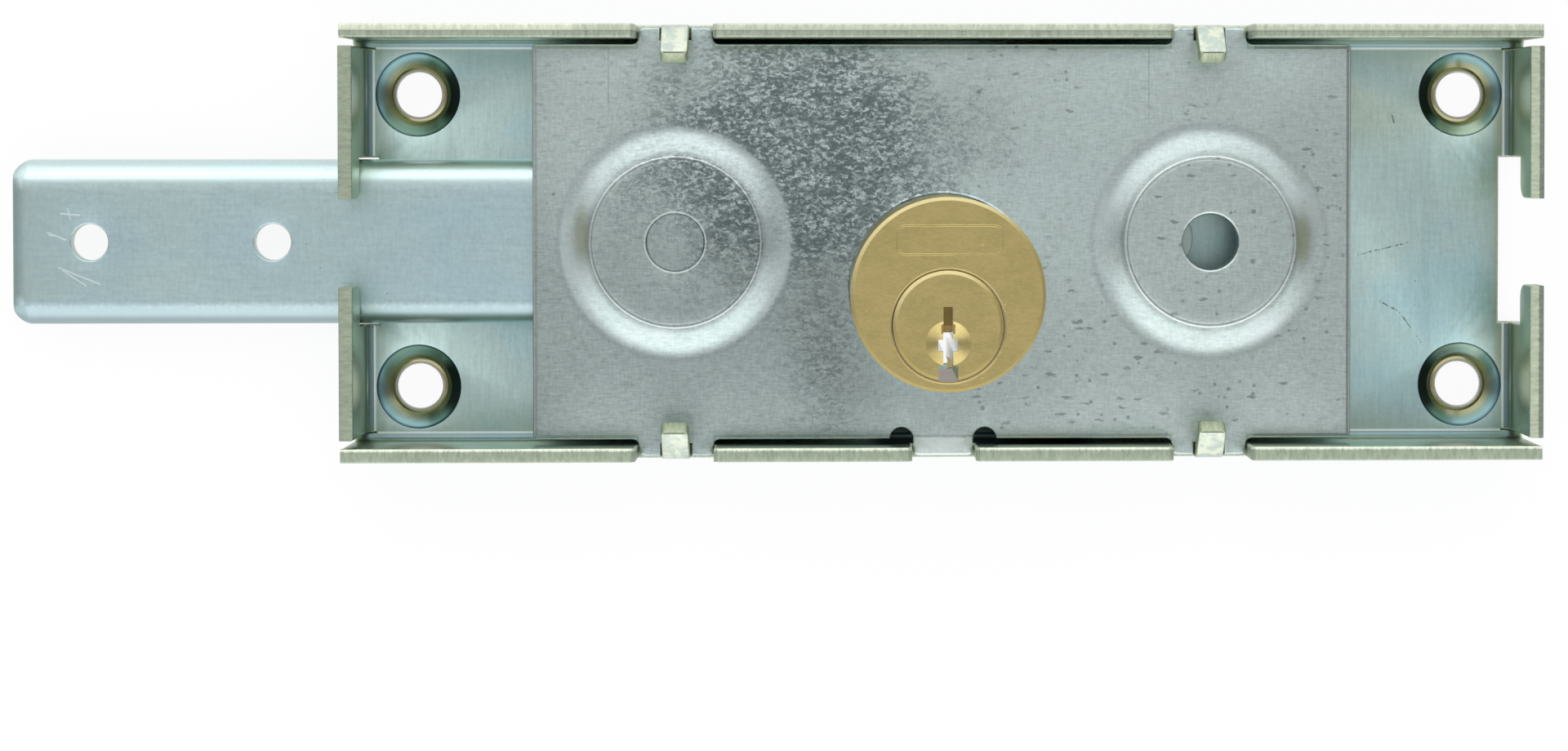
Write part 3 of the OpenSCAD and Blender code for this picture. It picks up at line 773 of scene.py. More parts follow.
class BarForm:
    """The bar as a flat blank and its two folds, in millimetres."""

    def __init__(self, sizes):
        self.sheet = sizes.bar_sheet / MM
        self.outer = sizes.bar_bend / MM
        self.inner = self.outer - self.sheet
        self.half = sizes.bar_width / MM / 2
        self.flat = self.half - self.outer
        self.arc = math.pi / 2 * (self.inner + self.sheet / 2)
        self.edge = self.flat + self.arc + sizes.bar_height / MM - self.outer
        self.top = 6.9
        self.end = -119.1
        self.end_r = 1.7
        self.back = -52.0
        self.taper = 1.9

    def place(self, u, v, h):
        """Puts a point of the blank into the frame, thinner towards the end."""
        taper = max(0.0, 1.0 - (u - self.end) / self.taper)
        h = h - 0.62 * taper ** 1.6 * (h / self.sheet)
        over = abs(v) - self.flat
        if over <= 0:
            return u, v, self.top - self.sheet + h
        radius = self.inner + h
        if over < self.arc:
            turn = over / self.arc * math.pi / 2
            y = self.flat + radius * math.sin(turn)
            return u, math.copysign(y, v), self.top - self.outer + radius * math.cos(turn)
        return u, math.copysign(self.flat + radius, v), self.top - self.outer - (over - self.arc)

    def end_corner(self):
        """The rounded end on the +v side, from the end face to the flange."""
        made = []
        for turn in np.radians(np.linspace(0, 90, 13)):
            y = self.flat + self.outer * math.sin(turn)
            v = self.flat + turn / (math.pi / 2) * self.arc
            past = max(0.0, y - (self.half - self.end_r))
            made.append((self.end + self.end_r - math.sqrt(max(0.0, self.end_r ** 2 - past ** 2)), v))
        return made + [(self.end + self.end_r, self.edge)]

    def outline(self):
        """The blank, counter-clockwise from the flange's lower back corner."""
        pitch = 40.0 / 12
        pitch_y = PLUG_Y + 20.0 / math.pi
        tip = pitch_y - 0.94 * pitch / math.pi
        root = pitch_y + 1.18 * pitch / math.pi
        slope = math.tan(math.radians(25))
        half = pitch / 4 + 0.05
        mouth = half + (pitch_y - tip) * slope
        floor = half - (root - pitch_y) * slope
        points = [(self.back, -self.edge), (self.back, tip)]
        for k in range(-14, 2):
            x = (k + 0.5) * pitch
            points += [(x - mouth, tip), (x - floor, root), (x + floor, root), (x + mouth, tip)]
        end_r = (5.0 - tip) / 2
        points += arc((32.3 - end_r, tip + end_r), end_r, -90, 90, 24)
        points += [(self.back + 5, 5.0), (self.back, 9.0), (self.back, self.edge)]
        corner = self.end_corner()
        points += corner[::-1] + mirrored(corner, y=-1)[::-1]
        return points

    def rows(self):
        made = []
        for share in np.linspace(0, 1, 11):
            for sign in (-1, 1):
                made.append((1, sign * (self.flat + self.arc * share), self.end + 0.2, self.back - 0.2))
        for x in (0.35, 0.7, 1.05, 1.4, self.taper):
            made.append((0, self.end + x, -self.edge + 0.1, self.edge - 0.1))
        return made


def bar_mesh(sizes):
    form = BarForm(sizes)
    holes = [circle((x, 0.0), 2.35, 56) for x in (-109.2, -85.9)]
    return sheet_mesh(
        form.outline(), holes, form.sheet, 0.2, 0.14, form.place, rows=form.rows(), fine=1.5
    )


# Finishes


def radius_of(x, y, centre, reach=None):
    """Distance from a centre, or its share of an ellipse's half axes."""
    dx, dy = x - centre[0], y - centre[1]
    if reach:
        dx, dy = dx / reach[0], dy / reach[1]
    return (dx * dx + dy * dy).math("SQRT")


def disc_mask(x, y, centre, radius, soft):
    """1 inside a circle, 0 outside it."""
    return radius_of(x, y, centre).ramp(radius + soft, radius - soft)


def scratches(x, y, lines, width):
    """1 on straight scratches, each between two points."""
    marks = []
    for start, end in lines:
        run = (end[0] - start[0], end[1] - start[1])
        length = math.hypot(*run)
        along = ((x - start[0]) * run[0] + (y - start[1]) * run[1]) / length
        side = abs((x - start[0]) * (-run[1] / length) + (y - start[1]) * (run[0] / length))
        past = (along * -1.0).high(along - length).high(0.0)
        marks.append((side + past).ramp(width, width * 0.3))
    return functools.reduce(Val.high, marks)


def plating(b, place, zinc, blue, olive, clouds, brushing):
    """Zinc plating: fine brushing, faint clouds of colour, small pits."""
    cloud = b.noise(b.stretch(place, (1.0, 1.6, 1.0)), 42.0, 3.0, 0.55, 0.4)
    drift = b.noise(b.stretch(place, (1.0, 1.0, 1.0), (0.3, 0.1, 0.0)), 17.0, 2.0, 0.5, 0.6)
    grain_x = b.grain(place, (300.0, 3000.0, 900.0))
    grain_y = b.grain(place, (3000.0, 300.0, 900.0))
    fleck = b.noise(place, 1700.0, 2.0, 0.6)
    pits = b.flecks(place, 480.0, (0.075, 0.035), 0.72)
    tint = b.blend(cloud.ramp(0.42, 0.72) * clouds, tuple(zinc), tuple(blue))
    tint = b.blend(drift.ramp(0.56, 0.76) * clouds, tint, tuple(olive))
    light = grain_x * 0.12 + (grain_y - 0.5) * brushing + fleck * 0.26 + 0.81 - pits * 0.35
    rough = 0.27 + grain_x * 0.10 + cloud * 0.06
    height = grain_x * 0.3 + grain_y * brushing * 2.0 + fleck * 0.4 - pits * 0.8
    return b.shade(tint, light), rough, height


def wall_colours(b, tint, u, v, inner):
    """Inner walls with olive-teal bands of iridescent tint and painted reflection, painted shade on the base
    next to the walls, and a painted highlight line and a painted shade line along the bends.
    """
    over_x, over_y = abs(u) - BEND_X, abs(v) - BEND_Y
    edge = over_x.high(over_y)
    along = b.noise(b.vector(u * 0.045, v * 0.22), 1.0, 3.0, 0.55)
    wall_tint_and_reflection = b.colours(along, [
        (0.30, (0.29, 0.45, 0.43)), (0.45, (0.38, 0.47, 0.36)), (0.56, (0.46, 0.46, 0.30)),
        (0.68, (0.28, 0.41, 0.44)),
    ])
    across = b.noise(b.vector(u * 0.25, v * 0.08), 1.0, 3.0, 0.5)
    end_wall_tint_and_reflection = b.colours(across, [
        (0.35, (0.36, 0.51, 0.40)), (0.52, (0.44, 0.55, 0.35)), (0.68, (0.34, 0.50, 0.44)),
    ])
    bright = edge.ramp(-0.22, -0.08) * edge.ramp(0.30, 0.16) * inner
    dark = edge.ramp(0.22, 0.40) * edge.ramp(1.9, 1.3) * inner
    return b.paint(tint, (
        # painted shade on the base next to the walls
        (edge.ramp(-4.5, -0.2) * inner * 0.42, (0.25, 0.33, 0.25)),
        # iridescent tint and painted reflection in olive-teal bands on the inner walls
        (over_y.ramp(1.2, 2.6) * inner * 0.85, wall_tint_and_reflection),
        (over_x.ramp(1.2, 2.6) * inner * 0.85, end_wall_tint_and_reflection),
        # painted shade line past each bend, then a painted highlight line on the bend
        (dark * 0.70, (0.09, 0.15, 0.18)),
        (bright * 0.75, (0.85, 0.93, 0.93)),
    ))


def sink_colours(b, u, v, h):
    """Share and colour of the countersinks: olive lip, teal cone, painted light on the side towards the
    centre line with a painted highlight on the right holes, and a painted dark reflection on the side towards
    the middle.
    """
    gap_u, gap_v = abs(u) - FIXING_HOLE[0], abs(v) - FIXING_HOLE[1]
    r = (gap_u * gap_u + gap_v * gap_v).math("SQRT")
    swirl = b.noise(b.vector(u, v), 0.6, 3.0, 0.6)
    metal = b.colours(r / 6.0 + (swirl - 0.5) * 0.02, [
        (0.480, (0.46, 0.46, 0.56)), (0.522, (0.46, 0.44, 0.31)), (0.560, (0.30, 0.285, 0.165)),
        (0.660, (0.27, 0.275, 0.16)), (0.730, (0.17, 0.24, 0.21)), (0.840, (0.16, 0.28, 0.29)),
        (0.880, (0.10, 0.18, 0.21)), (0.905, (0.03, 0.05, 0.08)),
    ])
    zone = r.ramp(3.9, 4.3) * r.ramp(5.42, 5.3)
    across, along = gap_v / r * -1.0, gap_u / r * -1.0
    metal = b.paint(metal, (
        # painted light and highlight on the cone's side towards the centre line, painted dark reflection on
        # its side towards the middle
        (across.ramp(0.45, 1.0) * zone * 0.55, (0.42, 0.58, 0.58)),
        (across.ramp(0.72, 0.95) * u.above(0.0) * zone * 0.7, (0.80, 0.88, 0.86)),
        (along.ramp(0.62, 0.90) * zone * 0.93, (0.02, 0.025, 0.025)),
    ))
    return r.ramp(5.52, 5.46) * h.ramp(0.0, 0.06), metal


def edge_colours(b, u, v, h, khaki, tongue, grit):
    """Sheared edges: two bands along a wall's top, rough where they meet, in each wall's colours."""
    split = h + (grit - 0.5) * 0.25
    pale = b.blend(u.ramp(-46.95, -46.85), (0.70, 0.75, 0.60), (0.57, 0.62, 0.50))
    upper = b.blend(split.ramp(0.84, 0.96), pale, khaki)
    upper = b.blend(abs(split - 0.90).ramp(0.16, 0.05) * 0.35, upper, (0.16, 0.18, 0.13))
    lower = b.blend(split.ramp(1.36, 1.46), (0.37, 0.425, 0.33), (0.70, 0.75, 0.62))
    right = b.blend(split.ramp(0.60, 0.72), (0.24, 0.27, 0.22), (0.50, 0.56, 0.43))
    end_wall = abs(v).below(BEND_Y + 0.01)
    colour = b.blend(v.above(26.0), khaki, upper)
    colour = b.paint(colour, (
        (v.below(-26.0), lower),
        (u.above(74.5) * end_wall, right),
        (u.below(-74.5) * end_wall, (0.34, 0.39, 0.30)),
        (tongue, (0.40, 0.45, 0.32)),
    ))
    return b.shade(colour, 0.48 + grit * 1.04)


def case_material(colours):
    """Plating of the folded case: painted highlight and shade lines at the bends, iridescent walls with
    painted reflection, countersinks with painted light and reflection, painted shade under the cover's lower
    cut-out, khaki sheared edges.
    """
    material, b = new_material("case_zinc")
    place = b.place()
    tint, rough, height = plating(
        b, place, colours.zinc, colours.zinc_blue, colours.zinc_olive, clouds=0.9, brushing=0.34
    )
    u, v, h = b.flat()
    inner = h.ramp(0.7, 1.0)
    cool = disc_mask(u, v, (57.0, -17.0), 4.0, 9.0)
    warm = disc_mask(u, v, (71.0, 14.0), 0.5, 5.0).high(disc_mask(u, v, (71.0, -14.0), 0.5, 5.0))
    lines = scratches(u, v, (
        ((57.5, -8.1), (60.1, -9.5)), ((60.1, -9.5), (61.7, -11.8)), ((61.7, -11.8), (62.9, -13.5)),
        ((54.6, -2.0), (61.2, -0.4)), ((59.0, 16.5), (59.3, 15.3)), ((-64.9, 21.4), (-64.0, 20.2)),
    ), 0.14)
    broken = b.noise(place, 2600.0, 2.0, 0.6).ramp(0.42, 0.56)
    slit = u.ramp(72.1, 73.1) * abs(v).below(18.5) * inner
    tint = b.paint(tint, (
        (cool * 0.35, (0.33, 0.46, 0.47)),
        (warm * 0.35, (0.46, 0.47, 0.30)),
        (lines * inner * broken * 0.85, (0.08, 0.10, 0.09)),
        (slit * 0.55, (0.36, 0.34, 0.20)),
    ))
    tint = wall_colours(b, tint, u, v, inner)
    # painted shade: near black on the base and wall under the cover's lower cut-out
    notch_shade = abs(u - 5.0).ramp(16.0, 12.0) * v.ramp(-17.0, -20.0) * h.above(0.9) * abs(v).below(34.0)
    tint = b.blend(notch_shade * 0.93, tint, (0.02, 0.03, 0.03))
    sink, metal = sink_colours(b, u, v, h)
    tint = b.blend(sink, tint, metal)

    tongue = abs(abs(u) - DOME_X).below(2.2) * abs(v).above(33.9)
    mottle = b.noise(place, 700.0, 3.0, 0.6, 0.6).ramp(0.40, 0.62)
    tint = b.blend(tongue, tint, b.blend(mottle, (0.72, 0.77, 0.64), (0.52, 0.60, 0.54)))
    tint = b.blend(tongue * abs(v).ramp(38.55, 38.75), tint, (0.10, 0.12, 0.09))
    rim = b.attribute("rim").ramp(0.4, 0.6)
    grit = b.noise(b.vector(u * 2.4, v * 2.4, h * 0.8), 1.0, 4.0, 0.7)
    tint = b.blend(rim, tint, edge_colours(b, u, v, h, tuple(colours.shear), tongue, grit))
    b.metal(tint, rough + rim * 0.14 - sink * 0.12, b.bump(height + rim * grit * 1.5, 0.000012))
    return material


def bar_material(colours):
    """Plating of the bolt bar: a painted highlight on the bend on the +y side, painted shade on the bend on
    the -y side and on the rolled end, dark tail, scratches by the rod hole and scuffs at the window."""
    material, b = new_material("bar_zinc")
    place = b.place()
    tint, rough, height = plating(
        b, place, colours.bar_zinc, (0.43, 0.58, 0.63), (0.55, 0.60, 0.50), clouds=1.0, brushing=0.16
    )
    u, v, _ = b.flat()
    band_jitter = b.noise(place, 1500.0, 3.0, 0.7)
    scuff = b.grain(place, (260.0, 2600.0, 900.0)).ramp(0.56, 0.66)
    marks = scratches(u, v, (
        ((-114.5, 1.25), (-112.2, 0.3)), ((-112.8, 3.65), (-110.4, 3.45)), ((-113.1, -3.25), (-107.9, -5.35)),
        ((-114.3, 0.9), (-113.2, 0.75)), ((-111.9, 4.3), (-111.6, 2.9)), ((-112.6, -3.6), (-109.6, -5.6)),
    ), 0.13)
    tint = b.paint(tint, (
        (u.ramp(-108.0, -117.0) * 0.35 * abs(v).below(7.5), (0.42, 0.52, 0.50)),
        # painted highlight along the bend on the +y side and painted shade along the bend on the -y side,
        # with ragged edges
        ((v + (band_jitter - 0.5) * 2.0).ramp(6.3, 7.9) * 0.5, (0.70, 0.83, 0.83)),
        ((v * -1.0 + (band_jitter - 0.5) * 1.5).ramp(7.2, 8.4) * 0.75, (0.30, 0.38, 0.40)),
        # painted shade on the rolled end
        (u.ramp(-117.2, -118.9) * 0.55, (0.31, 0.41, 0.42)),
        (u.ramp(24.0, 26.0) * 0.55, (0.24, 0.26, 0.20)),
        (marks * 0.55, (0.84, 0.92, 0.92)),
        (scuff * abs(u + 77.5).ramp(3.0, 0.5) * abs(v).above(5.0) * 0.4, (0.30, 0.33, 0.24)),
        (b.attribute("rim").ramp(0.4, 0.6) * 0.5, (0.42, 0.48, 0.42)),
    ))
    b.metal(tint, rough, b.bump(height - marks, 0.000012))
    return material


def cover_material(colours):
    """Hot-dip galvanised sheet: rolling marks, angular spangle on the left upper part on a ground darkened as
    painted reflection, dark dots; painted highlights, painted shade and a painted olive reflection on the
    domes.
    """
    material, b = new_material("cover_galvanised")
    place = b.place()
    u, v, _ = b.flat()
    left = radius_of(u, v, (-DOME_X, 0.0))
    near = left.low(radius_of(u, v, (DOME_X, 0.0)))
    flank = near.ramp(10.9, 11.3) * near.ramp(15.1, 14.4)

    bent = b.jittered(place, 1500.0, 0.0007)
    large = b.cells(b.stretch(bent, (1.0, 1.9, 1.0)), 1550.0, output=1, metric="CHEBYCHEV")
    small = b.cells(b.stretch(bent, (1.0, 1.5, 1.0)), 2900.0, output=1, metric="MANHATTAN")
    leaf = b.split(large)[0] * 0.55 + b.split(small)[1] * 0.45
    wobble = b.noise(place, 160.0, 3.0, 0.6) - 0.5
    main = (radius_of(u, v, (-18.5, 10.5), (24.0, 19.0)) + wobble * 0.7).ramp(1.25, 0.40)
    tail = (radius_of(u, v, (-15.5, -12.0), (7.0, 15.0)) + wobble * 0.5).ramp(1.2, 0.2)
    patch = main.high(tail * 0.55) * (1.0 - flank * 0.75)
    cluster = b.noise(b.stretch(place, (1.0, 1.5, 1.0)), 420.0, 2.0, 0.5)
    crystal = (leaf + patch * 0.30 + (cluster - 0.5) * 0.30).ramp(0.46, 1.0) * (0.14 + patch * 0.86)
    glint = leaf.ramp(0.38, 0.12) * (0.12 + patch * 0.55)

    roll = b.grain(place, (700.0, 4200.0, 900.0), 0.65)
    cross = b.grain(place, (3600.0, 900.0, 900.0))
    tone = b.noise(b.stretch(place, (1.0, 0.7, 1.0)), 34.0, 3.0, 0.5)
    colour = b.blend(tone.ramp(0.35, 0.7), tuple(colours.galvanised), (0.45, 0.525, 0.51))
    colour = b.paint(colour, (
        # spangle patch: the crystals are the sheet's own, the darker ground under them is painted reflection
        (patch * 0.75, (0.30, 0.36, 0.355)),
        (disc_mask(u, v, (-16.0, -6.0), 10.0, 20.0) * 0.28, (0.31, 0.37, 0.365)),
        # painted shade on the upper side of the dome flanks
        (flank * v.ramp(-2.0, 8.0) * 0.45, (0.38, 0.44, 0.44)),
        (crystal, tuple(colours.spangle)),
        (glint, (0.62, 0.72, 0.71)),
    ))
    # darker towards the lower left; painted shade on a ring of the dome flank next to the disc
    low_left = u.ramp(4.0, -16.0) * v.ramp(12.0, -6.0)
    disc_edge_shade = near.ramp(10.75, 10.95) * near.ramp(11.9, 11.2)
    light = 0.56 + roll * 0.50 + cross * 0.34
    colour = b.shade(colour, light - low_left * (1.0 - flank * 0.8) * 0.24 - disc_edge_shade * 0.30)

    crowd = b.noise(place, 70.0, 2.0, 0.5).ramp(0.44, 0.60) * (0.3 + u.ramp(-20.0, 20.0) * 0.7)
    dots = b.flecks(place, 190.0, (0.080, 0.050), 0.5)
    specks = b.flecks(place, 620.0, (0.20, 0.10), 0.45)
    dashes = b.flecks(b.stretch(bent, (0.55, 1.8, 1.0)), 560.0, (0.26, 0.14), 0.45, channel=1)
    marks = (dots * 0.55).high(dashes.high(specks) * (0.08 + crowd * 0.50)) * (1.0 - flank * 0.8)

    scribe = abs(u + 42.76).ramp(0.09, 0.02).high(abs(u - 26.43).ramp(0.09, 0.02))
    scribe = scribe * v.ramp(14.0, 19.0) * v.below(24.9)
    long_edge = (25.35 - abs(v)).high(5.4 - abs(abs(u) - DOME_X))
    border = (52.5 - abs(u)).low(long_edge)
    groove = abs(border - 0.45).ramp(0.24, 0.10)
    slug = abs(left - 3.66).ramp(0.14, 0.05)
    seam = abs(near - 10.66).ramp(0.13, 0.04)
    lip = abs(left - 3.90).ramp(0.12, 0.04) * 0.5 + abs(near - 10.92).ramp(0.12, 0.04) * 0.45
    olive_reflection = radius_of(abs(u), v, (46.2, 0.6), (1.3, 4.6)).ramp(1.2, 0.3)
    sheen = flank * b.noise(place, 110.0, 2.0, 0.5).ramp(0.45, 0.65)
    colour = b.paint(colour, (
        (marks, (0.11, 0.13, 0.13)),
        ((scribe * 0.40).high(groove * (0.3 + u.above(40.0) * 0.35)), (0.13, 0.14, 0.14)),
        (border.ramp(0.26, 0.16) * 0.4, (0.72, 0.78, 0.74)),
        (slug * 0.75 + seam * 0.5, (0.13, 0.16, 0.16)),
        # painted highlight lines at the slug's edge and the disc's edge
        (lip, (0.86, 0.90, 0.88)),
        # painted shade ring at the foot of each dome
        (abs(near - 15.1).ramp(0.5, 0.1) * 0.22, (0.25, 0.30, 0.31)),
        # painted reflection: an olive patch on the outer flank of each dome
        (olive_reflection * 0.65, (0.30, 0.32, 0.19)),
        (sheen * 0.35, (0.56, 0.62, 0.64)),
    ))
    pits = b.noise(place, 1600.0, 3.0, 0.7) * left.below(3.5)
    height = roll * 0.5 + cross * 0.3 + leaf * patch * 0.6 - marks * 0.6
    height = height - (scribe + groove) * 0.8 + pits * 2.5
    b.metal(colour, 0.31 + cross * 0.08 + crystal * 0.12, b.bump(height, 0.00001))
    return material


def brass_material(name, colours, axis_y, face_radius, face_line):
    """Turned and satin-finished brass: fine rings round an axis, rubbed patches, a bevel painted with a
    highlight at the upper left and shade elsewhere, painted shade in the gap round the plug.
    The body has a worn, rounded line on its face, the plug's keyway has painted shade in its upper slot and
    painted light on its lower part."""
    material, b = new_material(name)
    place = b.place()
    x, y, z = b.split(place)
    radius = radius_of(x, y, (0.0, axis_y))
    rings = b.noise(b.vector(radius * 9000.0, z * 5200.0), 1.0, 3.0, 0.6)
    patch = b.noise(b.stretch(place, (1.0, 2.0, 1.0)), 230.0, 4.0, 0.6, 0.5)
    grain = b.grain(place, (1500.0, 4500.0, 1500.0), 0.65)
    colour = b.blend(patch.ramp(0.36, 0.70), tuple(colours.brass), (0.485, 0.395, 0.165))
    colour = b.shade(colour, grain * 0.34 + rings * 0.14 + 0.71)
    bevel = radius.ramp(face_radius - 0.0001, face_radius) * z.ramp(0.0280, 0.0282)
    lit = ((y - axis_y) * 0.9 - x * 0.4) / radius
    glow = b.blend(lit.ramp(0.1, 0.8), (0.36, 0.29, 0.10), (0.80, 0.70, 0.38))
    gap = abs(radius_of(x, y, (0.0, PLUG_Y * MM)) - 0.00683).below(0.00010) * z.below(0.02865)
    colour = b.paint(colour, (
        (b.flecks(place, 420.0, (0.08, 0.03), 0.7) * 0.5, (0.80, 0.70, 0.42)),
        # painted highlight on the bevel at the upper left, painted shade on the rest of it
        (bevel * 0.6, glow),
        # painted shade in the gap round the plug
        (gap, (0.15, 0.09, 0.02)),
    ))
    height = rings * 0.4 + grain * 0.6
    if face_line:
        dx = (abs(x - 0.0002) - 0.0054).high(0.0)
        dy = (abs(y - 0.00085) - 0.0007).high(0.0)
        line = abs((dx * dx + dy * dy).math("SQRT") - 0.00105).ramp(0.00014, 0.00004)
        line = line * (0.35 + b.noise(place, 260.0, 2.0, 0.5).ramp(0.35, 0.55) * 0.65)
        height = height - line * 6.0
        colour = b.blend(line * 0.55, colour, (0.26, 0.20, 0.08))
    else:
        # painted shade in the keyway's upper slot and painted light on its lower walls
        slot = abs(x).below(0.00085) * z.below(0.0286) * y.below(-0.0071) * y.above(-0.0106)
        keyway_light = abs(x).below(0.0013) * z.below(0.0271) * y.below(-0.0105) * y.above(-0.0149)
        colour = b.paint(colour, ((slot, (0.20, 0.13, 0.04)), (keyway_light, (0.93, 0.93, 0.92))))
    b.metal(colour, 0.27 + patch * 0.10 + grain * 0.06 + bevel * 0.10, b.bump(height, 0.00001))
    return material


def turned_material(name, colour, rough):
    """Plain turned metal for the small parts."""
    material, b = new_material(name)
    place = b.place()
    rings = b.grain(place, (900.0, 4200.0, 900.0))
    patch = b.noise(place, 420.0, 3.0, 0.6)
    tint = b.shade(tuple(colour), 0.84 + rings * 0.18 + patch * 0.12)
    b.metal(tint, rough + patch * 0.12, b.bump(rings, 0.000008, 0.5))
    return material


def pressed_spring(i, material):
    """A pin spring of its own: a copy of the CAD spring's mesh, which rides on the case."""
    node, slide = f"pin_spring_{i}", f"driver_{i}_slide"
    low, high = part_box(node)
    travel = next(joint for joint in frame["joints"] if joint["name"] == slide)["range_m"][1]
    data = frame["nodes"][node].data.copy()
    data.materials.clear()
    piece = add_object(f"coil_{i}", data, material)
    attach(piece, "lock_case")
    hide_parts(node)
    keep = 1 - travel / (high[1] - low[1])
    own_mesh(piece)
    piece.visible_glossy = False


# Operators


class LOCK_OT_case(bpy.types.Operator):
    """Builds the folded case with rolled punched edges"""

    bl_idname = "lock.case"
    bl_label = "Folded case"

    def execute(self, context):
        mesh, material = case_mesh(context.scene.lock_sizes), case_material(context.scene.lock_colours)
        finish_mesh("folded_case", mesh, material, "lock_case", "case")
        return {"FINISHED"}


class LOCK_OT_cover(bpy.types.Operator):
    """Builds the cover plate with its wings and pressed domes"""

    bl_idname = "lock.cover"
    bl_label = "Cover plate"

    def execute(self, context):
        mesh, material = cover_mesh(context.scene.lock_sizes), cover_material(context.scene.lock_colours)
        finish_mesh("pressed_cover", mesh, material, "lock_case", "cover_plate")
        return {"FINISHED"}


class LOCK_OT_bar(bpy.types.Operator):
    """Builds the folded bolt bar with its toothed tail"""

    bl_idname = "lock.bar"
    bl_label = "Bolt bar"

    def execute(self, context):
        mesh, material = bar_mesh(context.scene.lock_sizes), bar_material(context.scene.lock_colours)
        finish_mesh("folded_bar", mesh, material, "bolt", "bolt_bar")
        return {"FINISHED"}


class LOCK_OT_cylinder(bpy.types.Operator):
    """Finishes the brass cylinder, its plug and the slugs"""

    bl_idname = "lock.cylinder"
    bl_label = "Brass cylinder"

    def execute(self, context):
        colours = context.scene.lock_colours
        body = brass_material("body_brass", colours, BODY_Y * MM, 0.0115, True)
        dress("cylinder_body", body)
        dress("chamber_slugs", body)
        dress("cylinder_plug", brass_material("plug_brass", colours, PLUG_Y * MM, 0.00633, False))
        for node in ("cylinder_body", "cylinder_plug"):
            frame["nodes"][node].visible_glossy = False
        return {"FINISHED"}


class LOCK_OT_small_parts(bpy.types.Operator):
    """Finishes the pins, springs, pillars and screws"""

    bl_idname = "lock.small_parts"
    bl_label = "Pins, springs, pillars, screws"

    def execute(self, context):
        colours = context.scene.lock_colours
        # the key pins are painted dark brown as painted shade inside the keyway
        pin = turned_material("pin_brass", (0.22, 0.15, 0.05), 0.32)
        driver = turned_material("pin_steel", colours.steel, 0.30)
        spring = turned_material("spring_steel", (0.48, 0.48, 0.49), 0.35)
        screw = turned_material("screw_steel", (0.58, 0.60, 0.60), 0.36)
        for i in range(1, 6):
            dress(f"key_pin_{i}", pin)
            dress(f"driver_pin_{i}", driver)
            pressed_spring(i, spring)
        for node in [name for name in frame["nodes"] if "pin_" in name or name == "chamber_slugs"]:
            frame["nodes"][node].visible_glossy = False
        dress("guide_pillars", screw)
        dress("cylinder_screws", screw)
        return {"FINISHED"}


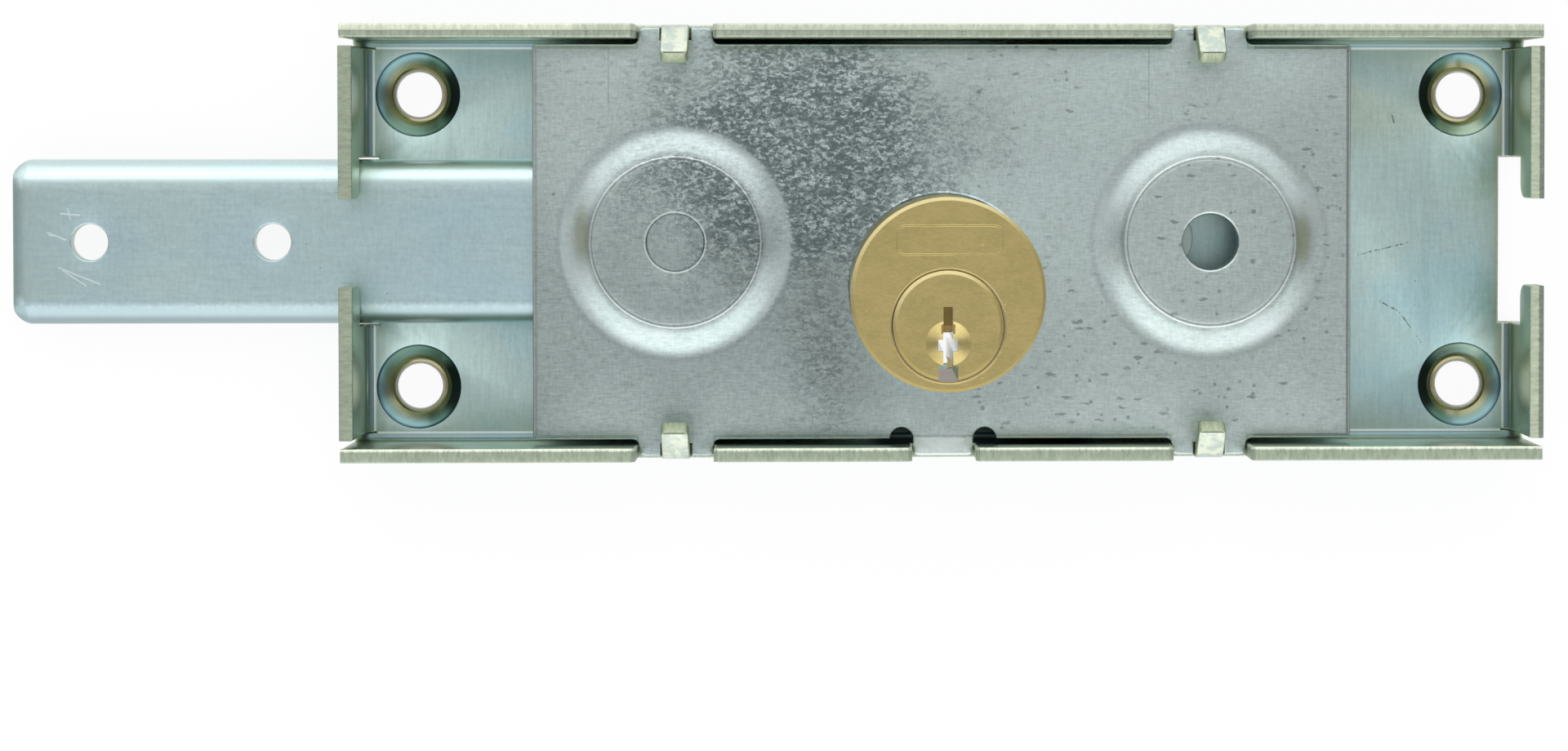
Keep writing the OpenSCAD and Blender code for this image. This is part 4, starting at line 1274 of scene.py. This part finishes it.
class LOCK_OT_studio(bpy.types.Operator):
    """Sets up the white table, the soft lamps, the world and the camera"""

    bl_idname = "lock.studio"
    bl_label = "Studio"

    def execute(self, context):
        self.table()
        self.world(context)
        self.lamps()
        self.camera(context)
        context.scene.view_settings.view_transform = "Standard"
        return {"FINISHED"}

    def table(self):
        data = bpy.data.meshes.new("table")
        corners = [(x * 3.0, y * 3.0, -0.0001) for x, y in ((-1, -1), (1, -1), (1, 1), (-1, 1))]
        data.from_pydata(corners, [], [(0, 1, 2, 3)])
        material, b = new_material("table_white")
        camera, glossy, through = [b.add("ShaderNodeLightPath", output=i) for i in (0, 3, 6)]
        seen = camera.high(glossy).high(through)
        plain = b.add("ShaderNodeBsdfDiffuse", {}, {"Color": (0.86, 0.87, 0.87)})
        glow = b.add("ShaderNodeEmission", {}, {"Color": (1.0, 1.0, 1.0), "Strength": 1.0})
        surface = b.add("ShaderNodeMixShader", {}, {0: seen * 0.9, 1: plain, 2: glow})
        b.add("ShaderNodeOutputMaterial", {}, {"Surface": surface})
        add_object("table", data, material)

    def world(self, context):
        world = bpy.data.worlds.new("studio")
        context.scene.world = world
        world.use_nodes = True
        b = Board(world.node_tree)
        x, y, _ = b.split(b.add("ShaderNodeTexCoord"))
        level = 0.57 - abs(x).ramp(0.45, 0.95) * 0.10
        level = level + (y * -1.0).ramp(0.14, 0.52) * 0.92 + y.ramp(0.13, 0.50) * 0.86
        tent = b.add("ShaderNodeCombineColor", {}, {0: level, 1: level * 1.005, 2: level * 1.005})
        camera_ray = b.add("ShaderNodeLightPath", output=0)
        colour = b.blend(camera_ray, tent, (1.0, 1.0, 1.0))
        back = b.add("ShaderNodeBackground", {}, {"Color": colour, "Strength": 1.0})
        b.add("ShaderNodeOutputWorld", {}, {"Surface": back})

    def lamps(self):
        for name, place, size, power in (
            ("front_box", (0.0, -0.60, 0.50), (1.1, 0.8), 1.0),
            ("back_box", (-0.10, 0.55, 0.55), (1.0, 0.7), 0.8),
        ):
            data = bpy.data.lights.new(name, "AREA")
            data.shape = "RECTANGLE"
            data.size, data.size_y = size
            data.energy = power
            lamp = add_object(name, data)
            lamp.location = place
            lamp.rotation_euler = (-Vector(place)).to_track_quat("-Z", "Y").to_euler()

    def camera(self, context):
        data = bpy.data.cameras.new("camera")
        data.lens = 67.47
        data.sensor_width = 36.0
        data.shift_x = -0.0860
        data.shift_y = -0.1086
        data.clip_start, data.clip_end = 0.01, 20.0
        camera = add_object("camera", data)
        camera.location = (-0.01225, 0.01227, 0.38509)
        camera.rotation_euler = [math.radians(a) for a in (-1.154, -1.393, -0.026)]
        context.scene.camera = camera


OPERATORS = (
    LOCK_OT_case, LOCK_OT_cover, LOCK_OT_bar, LOCK_OT_cylinder, LOCK_OT_small_parts, LOCK_OT_studio,
)


class LOCK_PT_panel(bpy.types.Panel):
    bl_idname = "LOCK_PT_panel"
    bl_label = "Roller Shutter Lock"
    bl_space_type = "VIEW_3D"
    bl_region_type = "UI"
    bl_category = "Shutter Lock"

    def draw(self, context):
        for operator in OPERATORS:
            self.layout.operator(operator.bl_idname)
        for group in (context.scene.lock_sizes, context.scene.lock_colours):
            column = self.layout.column(align=True)
            for key in group.__annotations__:
                column.prop(group, key)


CLASSES = (LockSizes, LockColours, *OPERATORS, LOCK_PT_panel)


def register():
    for cls in CLASSES:
        bpy.utils.register_class(cls)
    bpy.types.Scene.lock_sizes = bpy.props.PointerProperty(type=LockSizes)
    bpy.types.Scene.lock_colours = bpy.props.PointerProperty(type=LockColours)


def unregister():
    del bpy.types.Scene.lock_sizes
    del bpy.types.Scene.lock_colours
    for cls in reversed(CLASSES):
        bpy.utils.unregister_class(cls)


def main():
    register()
    bpy.ops.lock.case()
    bpy.ops.lock.cover()
    bpy.ops.lock.bar()
    bpy.ops.lock.cylinder()
    bpy.ops.lock.small_parts()
    bpy.ops.lock.studio()
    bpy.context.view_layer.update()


if __name__ == "__main__":
    main()
